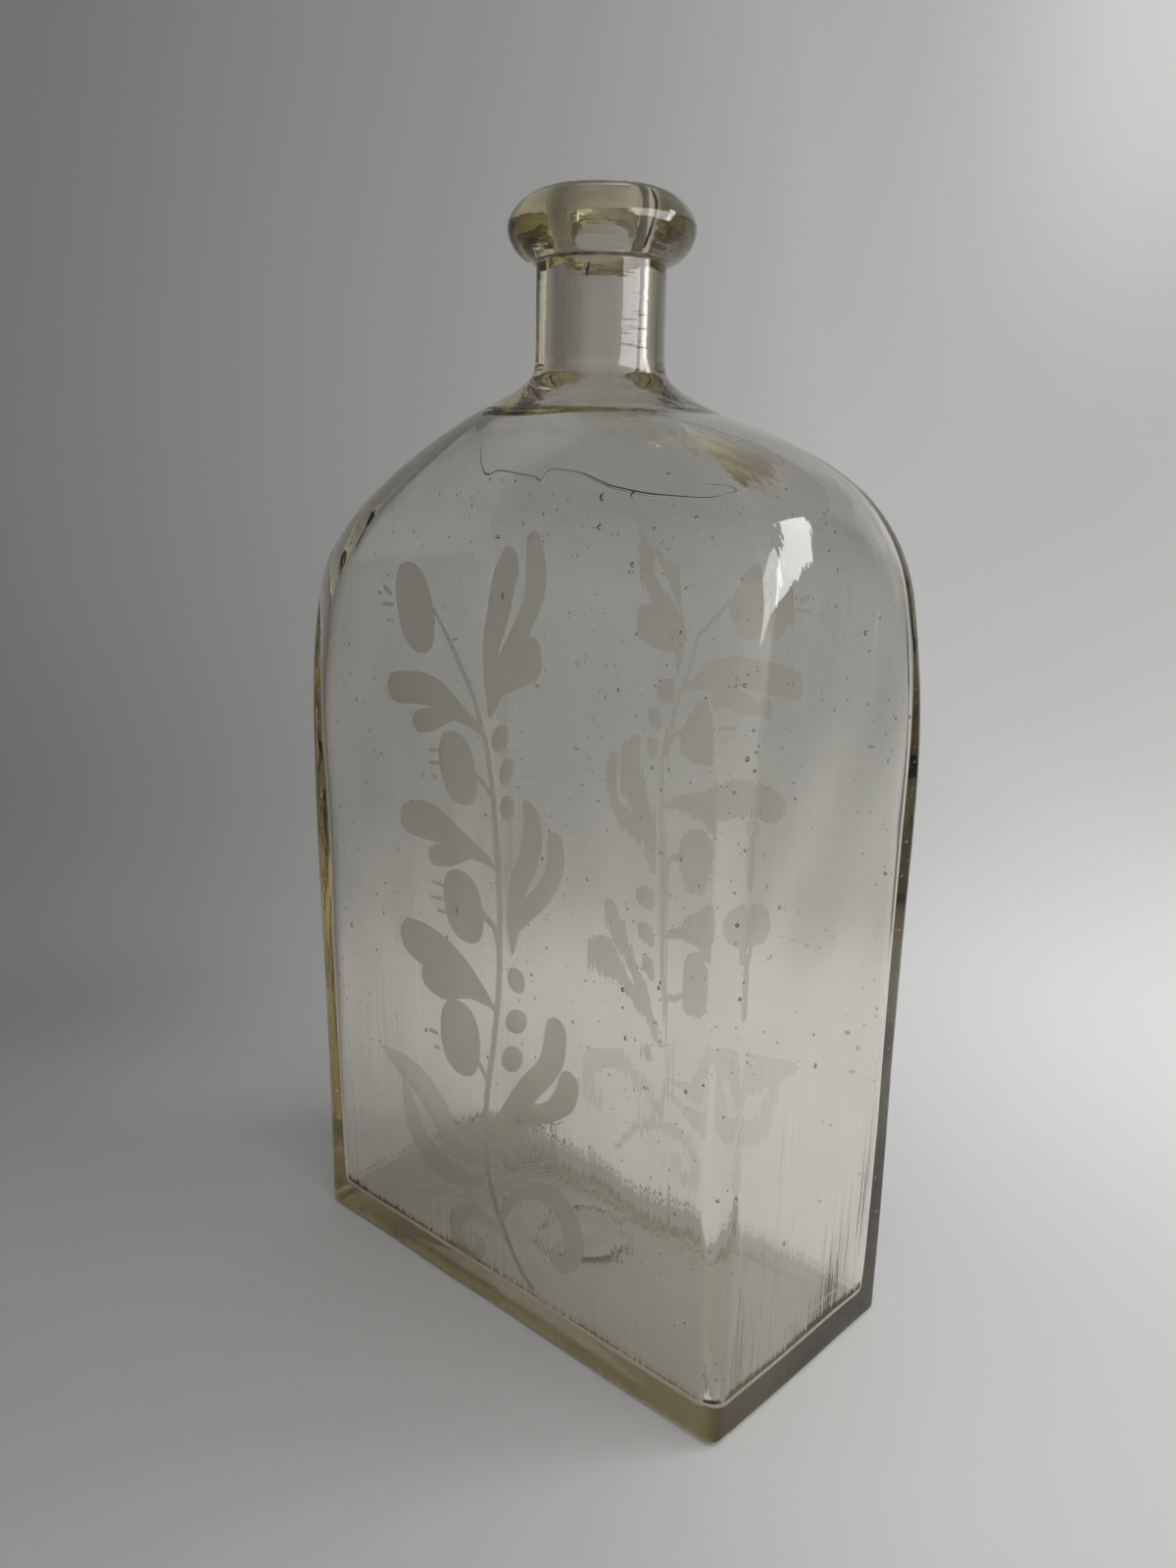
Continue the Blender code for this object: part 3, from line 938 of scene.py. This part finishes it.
def drawn_bubble(build, line, radii, mark=0.0):
    """A long thin bubble along a line, pointed at both ends: a hollow whose faces look into it.

    Returns its faces and their marks, like each part of a mesh.
    """
    along = np.gradient(line, axis=0)
    along /= np.linalg.norm(along, axis=1)[:, None]
    outward = line * (1, 1, 0)
    side = np.cross(along, outward)
    side /= np.linalg.norm(side, axis=1)[:, None]
    other = np.cross(along, side)
    rows = []
    for place, radius, one, two in zip(line, radii, side, other):
        turn = np.arange(TUBE_SIDES)[:, None] / TUBE_SIDES * 2 * math.pi
        rows.append(build.add(place + radius * (one * np.cos(turn) + two * np.sin(turn))))
    quads = [tuple(reversed(quad)) for quad in grid_faces(rows)]
    first = build.add([line[0] - along[0] * radii[0]])[0]
    last = build.add([line[-1] + along[-1] * radii[-1]])[0]
    for step in range(TUBE_SIDES):
        after = (step + 1) % TUBE_SIDES
        quads.append((rows[0][step], rows[0][after], first))
        quads.append((rows[-1][after], rows[-1][step], last))
    return quads, np.full(len(quads), mark)


def fold(build):
    """The fold that the maker's tool left inside the near shoulder, as a drawn-out bubble."""
    line = smooth_line(np.array(FOLD) * (SHARE_LENGTH, MM, MM), STROKE_STEP)
    places = through_wall(line[:, 0] / SHARE_LENGTH, line[:, 1], FOLD_DEEP)
    ends = np.arange(len(line))
    ends = np.minimum(ends, ends[::-1]) + 1
    return drawn_bubble(build, places, line[:, 2] * np.minimum(ends / TAPER_STEPS, 1))


def round_the_neck(reach, angle, height):
    """Points at so far from the bottle's middle line, by angle and height."""
    return np.stack([reach * np.cos(angle), reach * np.sin(angle), height], -1)


def sliver(build):
    """A dark sliver in the neck's glass under the lip."""
    share = np.linspace(0, 1, SLIVER_STEPS)
    reach = NECK_RADIUS - 2 * SLIVER_RADIUS - OUTER_DIP
    line = round_the_neck(reach, SLIVER_START + SLIVER_TURN * share, blend(*SLIVER_HEIGHTS, share))
    return drawn_bubble(build, line, SLIVER_RADIUS * np.sin(blend(*SLIVER_TAPER, share)), SOILED)


def seeds(rng, build, parts):
    """Adds small bubbles in the walls, as closed hollows whose faces look into them."""
    shape, sides = small_ball()
    share = rng.uniform(0, 4, SEED_COUNT)
    wide = rng.random(SEED_COUNT) < SEEDS_IN_FACES_SHARE
    face = np.where(rng.random(SEED_COUNT) < 0.5, FACES["back"], FACES["front"])
    share = np.where(wide, face + rng.uniform(-SIDE_SPAN, SIDE_SPAN, SEED_COUNT), share)
    height = blend(*SEED_HEIGHTS, rng.random(SEED_COUNT) ** SEED_HEIGHT_POWER) * MM
    places = through_wall(share, height, rng.uniform(*SEED_DEEP, SEED_COUNT)[:, None])
    size = np.clip(rng.lognormal(math.log(SEED_MEDIAN), SEED_SPREAD, SEED_COUNT), *SEED_LIMITS) * MM
    for place, radius in zip(places, size):
        stretch = np.array([1, 1, rng.uniform(1, SEED_STRETCH)])
        index = build.add(place + shape * radius * stretch)
        parts.append((index[sides[:, ::-1]], np.zeros(len(sides))))


def grid_faces(rows, skip=None):
    """Quads between rows of point numbers, which go right round. skip(i, j) leaves a hole."""
    quads = []
    for i in range(len(rows) - 1):
        low, high = rows[i], rows[i + 1]
        for j in range(len(low)):
            if skip is not None and skip(i, j):
                continue
            after = (j + 1) % len(low)
            quads.append((low[j], low[after], high[after], high[j]))
    return quads


def make_body():
    shares = round_shares()
    rings = underside(shares)
    under = len(rings)
    rings += heel(shares)
    first_wall = len(rings)
    wall_rows = wall_heights(HEEL_RADIUS)
    rings += [outer_wall(shares, height) for height in wall_rows]
    crease = len(rings) - 1
    rings += flare(shares)
    neck_foot = len(rings) - 1
    rings += neck_and_rim(shares) + bore(shares) + inner_walls(shares) + inner_floor(shares)
    soften(rings, crease, CREASE_SOFTENING)
    soften(rings, neck_foot, NECK_SOFTENING)
    build = Mesh()
    rows = [build.add(points) for points in rings]

    low = next(i for i, height in enumerate(wall_rows) if height > PATCH_LOW)
    high = max(i for i, height in enumerate(wall_rows) if height < PATCH_HIGH)
    holes = []
    parts = []
    spray = Spray()
    for face, middle in FACES.items():
        places = (shares - middle) / SIDE_SPAN
        columns = np.where(np.abs(places) < PATCH_SIDE)[0]
        holes.append((columns[0], columns[-1]))
        grid = np.array([rows[first_wall + i][columns] for i in range(low, high + 1)])
        parts.append(face_patch(build, spray, face, grid, wall_rows[low : high + 1], places[columns]))

    def in_hole(i, j):
        if not first_wall + low <= i < first_wall + high:
            return False
        return any(start <= j < end for start, end in holes)

    quads = grid_faces(rows, in_hole)
    for row, height, order in ((rows[0], PUSH_UP, -1), (rows[-1], BASE_THICKNESS + FLOOR_RISE, 1)):
        tip = build.add([(0, 0, height)])[0]
        quads += [(*pair[::order], tip) for pair in zip(row, np.roll(row, -1))]
    seeds(np.random.default_rng(SEED_DRAW), build, parts)
    parts.append(fold(build))
    parts.append(sliver(build))
    return finish_mesh("bottle_glass", build, quads, parts, (under - 1) * len(shares))


def finish_mesh(name, build, quads, parts, worn=0):
    """One smooth object from quads, of which the first few are worn, and parts of marked faces."""
    polygons = [tuple(int(point) for point in quad) for quad in quads]
    marks = [WORN_BASE] * worn + [0.0] * (len(polygons) - worn)
    for faces, face_marks in parts:
        polygons += [tuple(int(point) for point in face) for face in faces]
        marks += list(face_marks)
    mesh = bpy.data.meshes.new(name)
    mesh.from_pydata(np.vstack(build.points).tolist(), [], polygons)
    mesh.update()
    mesh.attributes.new("ground", "FLOAT", "FACE").data.foreach_set("value", np.array(marks, np.float32))
    mesh.shade_smooth()
    normals = np.empty(len(mesh.vertices) * 3, np.float32)
    mesh.vertices.foreach_get("normal", normals)
    normals = normals.reshape(-1, 3)
    for index, normal in build.normals.items():
        normals[index] = normal
    mesh.normals_split_custom_set_from_vertices(normals.tolist())
    obj = bpy.data.objects.new(name, mesh)
    bpy.context.scene.collection.objects.link(obj)
    return obj


# Where the two ends of the lip's trail of glass meet, as a drawn-out bubble from top to bottom
SEAM_ANGLES = (math.radians(-12), math.radians(-18))
SEAM_WANDER = math.radians(0.8)
SEAM_WANDER_TURN = 7
SEAM_DEEP = 0.85
SEAM_ARC = (0.5, 2.5)
SEAM_MARGIN = 1.4 * MM
SEAM_RADIUS = 0.42 * MM
SEAM_THIN_SHARE = 0.75
SEAM_SWELL_TURN = 9
SEAM_STEPS = 24


def lip_profile():
    """Radius and height round the bead: out and down over its bulge, then up along its bore."""
    waist = blend(LIP_BOTTOM, LIP_TOP, LIP_WAIST_SHARE)
    within = NECK_RADIUS - LIP_OVERLAP
    profile = [(within, LIP_TOP)]
    for step in range(1, LIP_STEPS + 1):
        share = math.cos(step / LIP_STEPS * math.pi / 2)
        reach = (1 - share ** LIP_UPPER_POWERS[0]) ** LIP_UPPER_POWERS[1]
        profile.append((NECK_RADIUS + LIP_BULGE * reach, blend(waist, LIP_TOP, share)))
    for step in range(1, LIP_STEPS):
        share = math.sin(step / LIP_STEPS * math.pi / 2)
        reach = (1 - share ** LIP_LOWER_POWERS[0]) ** LIP_LOWER_POWERS[1]
        profile.append((NECK_RADIUS + LIP_BULGE * reach, blend(waist, LIP_BOTTOM, share)))
    for step in range(LIP_BORE_STEPS):
        profile.append((within, blend(LIP_BOTTOM, LIP_TOP, step / LIP_BORE_STEPS)))
    return profile


def lip_seam(build):
    share = np.linspace(0, 1, SEAM_STEPS)
    angle = blend(*SEAM_ANGLES, share) + SEAM_WANDER * np.sin(share * SEAM_WANDER_TURN)
    reach = NECK_RADIUS + LIP_BULGE * SEAM_DEEP * np.sin(blend(*SEAM_ARC, share))
    height = blend(LIP_TOP - SEAM_MARGIN, LIP_BOTTOM + SEAM_MARGIN, share)
    wide = SEAM_RADIUS * blend(SEAM_THIN_SHARE, 1, np.sin(share * SEAM_SWELL_TURN))
    return drawn_bubble(build, round_the_neck(reach, angle, height), wide, SOILED)


def make_lip():
    """The bead of glass round the mouth: a closed ring whose bore lies a hair inside the neck's glass."""
    shares = steps(0, 4, LIP_ROUND_STEPS)
    build = Mesh()
    rows = [build.add(ring(shares, radius, radius, 0, 1, height)) for radius, height in lip_profile()]
    quads = [tuple(reversed(quad)) for quad in grid_faces(rows + rows[:1])]
    return finish_mesh("lip_glass", build, quads, [lip_seam(build)])


# The tint of the glass and how dense it is, for the body and for the deeper-coloured lip
BODY_TINT = (0.60, 0.493, 0.10, 1)
BODY_DENSITY = 30
LIP_TINT = (0.70, 0.633, 0.30, 1)
LIP_DENSITY = 60
REFRACTION = 1.5
GROUND_ROUGHNESS = 0.5
GROUND_COLOUR = (0.80, 0.78, 0.68, 1)
DIRT_COLOUR = (0.03, 0.027, 0.02, 1)

# Fine unevenness: grains to the metre along x, y and z, detail of the noise, and height in mm
CORDS = ((260, 260, 16), 1, 0.04)
STREAKS = ((620, 620, 12), 2, 0.10)
RIPPLES = ((110, 110, 620), 2, 0.09)
STREAKS_LEAST = 0.15
STREAKS_HEIGHTS = (0.02, 0.09)
RIPPLES_HEIGHTS = (0.205, 0.198)


def new_material(name):
    material = bpy.data.materials.new(name)
    material.use_nodes = True
    tree = material.node_tree
    return material, tree, tree.nodes["Principled BSDF"], tree.nodes["Material Output"]


def in_or_link(tree, socket, value):
    """Gives a socket its value, which is a number, a colour or another socket."""
    if isinstance(value, bpy.types.NodeSocket):
        tree.links.new(value, socket)
    else:
        socket.default_value = value


def math_node(tree, operation, first, second=0.0):
    """The output of a Math node whose inputs are sockets or numbers."""
    node = tree.nodes.new("ShaderNodeMath")
    node.operation = operation
    in_or_link(tree, node.inputs[0], first)
    in_or_link(tree, node.inputs[1], second)
    return node.outputs["Value"]


def times(tree, first, *others):
    for other in others:
        first = math_node(tree, "MULTIPLY", first, other)
    return first


def plus(tree, first, *others):
    for other in others:
        first = math_node(tree, "ADD", first, other)
    return first


def less(tree, share):
    """1 less a share."""
    return math_node(tree, "SUBTRACT", 1, share)


def mixed(tree, share, colour, other):
    """A colour that a share of the other one is mixed into."""
    node = tree.nodes.new("ShaderNodeMix")
    node.data_type = "RGBA"
    in_or_link(tree, node.inputs["Factor"], share)
    in_or_link(tree, node.inputs["A"], colour)
    in_or_link(tree, node.inputs["B"], other)
    return node.outputs["Result"]


def stretched_noise(tree, place, scale, detail, height):
    """Noise whose grain is so fine along x, y and z, in grains to the metre, times a height."""
    stretch = tree.nodes.new("ShaderNodeMapping")
    stretch.inputs["Scale"].default_value = scale
    tree.links.new(place, stretch.inputs["Vector"])
    noise = tree.nodes.new("ShaderNodeTexNoise")
    noise.inputs["Scale"].default_value = 1
    noise.inputs["Detail"].default_value = detail
    tree.links.new(stretch.outputs["Vector"], noise.inputs["Vector"])
    return times(tree, noise.outputs["Fac"], height)


def faded(tree, value, start, end):
    """1 up to start, falling to 0 at end, or the other way round where end is the lower one."""
    node = tree.nodes.new("ShaderNodeMapRange")
    node.interpolation_type = "SMOOTHSTEP"
    node.inputs["From Min"].default_value = min(start, end)
    node.inputs["From Max"].default_value = max(start, end)
    node.inputs["To Min"].default_value = 1 if start < end else 0
    node.inputs["To Max"].default_value = 0 if start < end else 1
    tree.links.new(value, node.inputs["Value"])
    return node.outputs["Result"]


def grown(tree, value, start, full):
    """0 up to start, growing to 1 where it is full."""
    return faded(tree, value, full, start)


def uneven_surface():
    """Fine unevenness in millimetres: cords all over, streaks near the base and ripples in the neck."""
    group = bpy.data.node_groups.new("uneven_surface", "ShaderNodeTree")
    group.interface.new_socket("Height", in_out="OUTPUT", socket_type="NodeSocketFloat")
    place = group.nodes.new("ShaderNodeTexCoord").outputs["Object"]
    parts = group.nodes.new("ShaderNodeSeparateXYZ")
    group.links.new(place, parts.inputs["Vector"])
    height = parts.outputs["Z"]
    low = plus(group, times(group, faded(group, height, *STREAKS_HEIGHTS), 1 - STREAKS_LEAST), STREAKS_LEAST)
    cords = stretched_noise(group, place, *CORDS)
    streaks = times(group, stretched_noise(group, place, *STREAKS), low)
    ripples = times(group, stretched_noise(group, place, *RIPPLES), faded(group, height, *RIPPLES_HEIGHTS))
    total = plus(group, cords, streaks, ripples)
    end = group.nodes.new("NodeGroupOutput")
    group.links.new(total, end.inputs["Height"])
    return group


def glass(name, uneven, tint, density):
    """Clear glass with cords and ripples, matt where it is ground, darker and greener where it is deep."""
    material, tree, shader, output = new_material(name)
    nodes, link = tree.nodes, tree.links.new
    shader.inputs["IOR"].default_value = REFRACTION
    shader.inputs["Transmission Weight"].default_value = 1
    shader.inputs["Metallic"].default_value = 0
    surface = nodes.new("ShaderNodeGroup")
    surface.node_tree = uneven
    bump = nodes.new("ShaderNodeBump")
    bump.inputs["Distance"].default_value = MM
    link(surface.outputs["Height"], bump.inputs["Height"])
    link(bump.outputs["Normal"], shader.inputs["Normal"])
    mark = nodes.new("ShaderNodeAttribute")
    mark.attribute_name = "ground"
    mark = mark.outputs["Fac"]
    ground = math_node(tree, "MINIMUM", mark, 1)
    link(times(tree, ground, GROUND_ROUGHNESS), shader.inputs["Roughness"])
    clean = mixed(tree, ground, (1, 1, 1, 1), GROUND_COLOUR)
    colour = mixed(tree, math_node(tree, "SUBTRACT", mark, 1), clean, DIRT_COLOUR)
    link(colour, shader.inputs["Base Color"])
    depth = nodes.new("ShaderNodeVolumeAbsorption")
    depth.inputs["Color"].default_value = tint
    depth.inputs["Density"].default_value = density
    link(depth.outputs["Volume"], output.inputs["Volume"])
    return material


def along(tree, place, way):
    """How far a place lies along a level direction."""
    node = tree.nodes.new("ShaderNodeVectorMath")
    node.operation = "DOT_PRODUCT"
    tree.links.new(place, node.inputs[0])
    node.inputs[1].default_value = way
    return node.outputs["Value"]


def level_axes():
    """Level directions to the right of the camera and straight ahead of it."""
    right, _, forward = CAMERA_AXES
    right = Vector((right[0], right[1], 0)).normalized()
    ahead = Vector((forward[0], forward[1], 0)).normalized()
    return right, ahead


def places_on_sweep(tree):
    """How far a point of the sweep lies across and ahead of the bottle, as the camera looks at it."""
    place = tree.nodes.new("ShaderNodeTexCoord").outputs["Object"]
    return [along(tree, place, way) for way in level_axes()]


def rays_of(tree):
    """Masks for the rays that come from the camera, out of the glass, and out of or off the glass."""
    rays = tree.nodes.new("ShaderNodeLightPath").outputs
    through = rays["Is Transmission Ray"]
    return rays["Is Camera Ray"], through, math_node(tree, "MAXIMUM", rays["Is Glossy Ray"], through)


def squares(tree, first, second):
    return plus(tree, math_node(tree, "POWER", first, 2), math_node(tree, "POWER", second, 2))


def soft_spot(tree, across, deep, middle_across, middle_ahead, reach, strength):
    """A strength in the middle of a spot, fading softly over its reach."""
    off_across = math_node(tree, "SUBTRACT", across, middle_across)
    off_ahead = math_node(tree, "SUBTRACT", deep, middle_ahead)
    fade = times(tree, squares(tree, off_across, off_ahead), -1 / reach**2)
    return times(tree, math_node(tree, "EXPONENT", fade), strength)


def painted_shade_in_glass(tree, across, deep):
    """1, or less where the glass shows the sweep: painted shade, dark to the far right, and dimmer behind
    and high up.
    """
    _, through, in_glass = rays_of(tree)
    azimuth = times(tree, math_node(tree, "ARCTAN2", across, deep), 180 / math.pi)
    away = math_node(tree, "POWER", squares(tree, across, deep), 0.5)
    side = times(tree, grown(tree, azimuth, *DARK_SIDE), faded(tree, azimuth, *DARK_SIDE_END))
    side = times(tree, side, grown(tree, away, *DARK_SIDE_NEAR), in_glass, DARK_SIDE_DEPTH)
    behind = times(tree, grown(tree, across, *BEHIND_ACROSS), grown(tree, deep, *BEHIND_AHEAD), BEHIND_DEPTH)
    high = times(tree, grown(tree, deep, *HIGH_AHEAD), HIGH_DEPTH)
    behind = times(tree, plus(tree, behind, high), through)
    return times(tree, less(tree, side), less(tree, behind))


def paper_with_painted_shade(tree):
    """Pale paper with painted shade: darker away from the window, dimmed in soft spots of painted shade and
    shadow, and darker where only the glass shows it.
    """
    across, deep = places_on_sweep(tree)
    # Painted shade: the paper darkens away from the window
    paper = times(tree, math_node(tree, "EXPONENT", times(tree, across, SWEEP_PAINTED_SHADE_GAIN)), SWEEP_COLOUR)
    paper = math_node(tree, "MAXIMUM", paper, SWEEP_DARKEST)
    # Painted shade and painted shadow in soft spots
    for spot in PAINTED_SHADE_SPOTS:
        paper = times(tree, paper, less(tree, soft_spot(tree, across, deep, *spot)))
    paper = math_node(tree, "MINIMUM", paper, SWEEP_PALEST)
    paper = times(tree, paper, painted_shade_in_glass(tree, across, deep))
    colour = tree.nodes.new("ShaderNodeCombineColor")
    tree.links.new(paper, colour.inputs["Red"])
    tree.links.new(paper, colour.inputs["Green"])
    tree.links.new(times(tree, paper, PAPER_BLUE), colour.inputs["Blue"])
    return colour.outputs["Color"]


def spots(tree, across, deep, table):
    return plus(tree, *[soft_spot(tree, across, deep, *spot) for spot in table])


def painted_light_on_sweep(tree):
    """Painted light on the paper: pale glowing spots, and glows seen only through the glass, most standing
    in for the light that clear glass lets down to the floor at its foot.
    """
    across, deep = places_on_sweep(tree)
    from_camera, through, in_glass = rays_of(tree)
    seen = math_node(tree, "MAXIMUM", from_camera, times(tree, in_glass, PAINTED_LIGHT_IN_GLASS))
    # Painted light: glowing spots, seen by the camera and, weaker, in the glass
    pale = times(tree, spots(tree, across, deep, PAINTED_LIGHT_SPOTS), seen)
    return plus(tree, pale, times(tree, spots(tree, across, deep, PAINTED_GLOWS_IN_GLASS), through))


def around(row, step):
    """The number of a point of the sweep's mesh: its middle is 0, and its rows go round it."""
    return 1 + row * SWEEP_SIDES + step % SWEEP_SIDES


def make_stage():
    """A pale floor that sweeps up on all sides, so that no edge shows behind the glass."""
    profile = [(SWEEP_START, 0.0)]
    for step in range(1, SWEEP_STEPS + 1):
        angle = step / SWEEP_STEPS * math.pi / 2
        height = SWEEP_RADIUS * (1 - math.cos(angle))
        profile.append((SWEEP_START + SWEEP_RADIUS * math.sin(angle), height))
    points = [(0, 0, -FLOOR_GAP)]
    for radius, height in profile:
        for angle in steps(0, 2 * math.pi, SWEEP_SIDES):
            points.append((radius * math.cos(angle), radius * math.sin(angle), height - FLOOR_GAP))
    faces = [(0, around(0, step), around(0, step + 1)) for step in range(SWEEP_SIDES)]
    for row in range(SWEEP_STEPS):
        for step in range(SWEEP_SIDES):
            low, high = around(row, step), around(row + 1, step)
            faces.append((low, high, around(row + 1, step + 1), around(row, step + 1)))
    mesh = bpy.data.meshes.new("floor")
    mesh.from_pydata(points, [], faces)
    mesh.shade_smooth()
    floor = bpy.data.objects.new("floor", mesh)
    bpy.context.scene.collection.objects.link(floor)
    material, tree, shader, _ = new_material("floor")
    shader.inputs["Roughness"].default_value = PAPER_ROUGHNESS
    shader.inputs["Specular IOR Level"].default_value = PAPER_SPECULAR
    # The floor's colour carries painted shade and its emission painted light
    shader.inputs["Emission Color"].default_value = (1, 1, 1, 1)
    tree.links.new(paper_with_painted_shade(tree), shader.inputs["Base Color"])
    tree.links.new(painted_light_on_sweep(tree), shader.inputs["Emission Strength"])
    mesh.materials.append(material)


def soft_light(name, away, azimuth, rise, width, tall, radiance, lean=0.0):
    """A flat light seen from the bottle at an azimuth and a rise, so wide and so tall, in radians.

    It never shows through the glass.
    """
    right, ahead = level_axes()
    level = ahead * math.cos(azimuth) + right * math.sin(azimuth)
    way = level * math.cos(rise) + Vector((0, 0, math.sin(rise)))
    data = bpy.data.lights.new(name, "AREA")
    data.shape = "RECTANGLE"
    data.size = 2 * away * math.tan(width / 2)
    data.size_y = 2 * away * math.tan(tall / 2)
    data.energy = radiance * math.pi * data.size * data.size_y
    light = bpy.data.objects.new(name, data)
    light.location = way * away + Vector((0, 0, EYE_HEIGHT))
    light.rotation_mode = "QUATERNION"
    light.rotation_quaternion = way.to_track_quat("Z", "Y") @ Quaternion((0, 0, 1), lean)
    light.visible_transmission = False
    bpy.context.scene.collection.objects.link(light)
    return light


def make_lights():
    """A bright window and a paler wall to the right of the camera, soft light from above and a dim room."""
    soft_light(
        "window", WINDOW_AWAY, WINDOW_AZIMUTH, WINDOW_RISE, WINDOW_WIDTH, WINDOW_TALL, WINDOW_RADIANCE,
        WINDOW_LEAN,
    )
    pane = soft_light("pane", WINDOW_AWAY, PANE_AZIMUTH, PANE_RISE, PANE_WIDTH, PANE_TALL, PANE_RADIANCE)
    pane.visible_diffuse = False
    sky = soft_light("sky", SKY_AWAY, SKY_AZIMUTH, SKY_RISE, SKY_WIDTH, SKY_TALL, SKY_RADIANCE)
    sky.visible_glossy = False
    world = bpy.data.worlds.new("room")
    bpy.context.scene.world = world
    world.use_nodes = True
    background = world.node_tree.nodes["Background"].inputs
    background["Color"].default_value = (1, 1, 1, 1)
    background["Strength"].default_value = ROOM_LEVEL


make_camera()
uneven = uneven_surface()
body_glass = make_body()
body_glass.data.materials.append(glass("bottle_glass", uneven, BODY_TINT, BODY_DENSITY))
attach(body_glass, "root")
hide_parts("blown_body")
lip_glass = make_lip()
lip_glass.data.materials.append(glass("lip_glass", uneven, LIP_TINT, LIP_DENSITY))
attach(lip_glass, "root")
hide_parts("applied_lip")
make_stage()
make_lights()
bpy.context.scene.cycles.max_bounces = BOUNCES
bpy.context.scene.cycles.transmission_bounces = BOUNCES
bpy.context.scene.cycles.glossy_bounces = GLOSSY_BOUNCES
bpy.context.scene.view_settings.view_transform = "Standard"
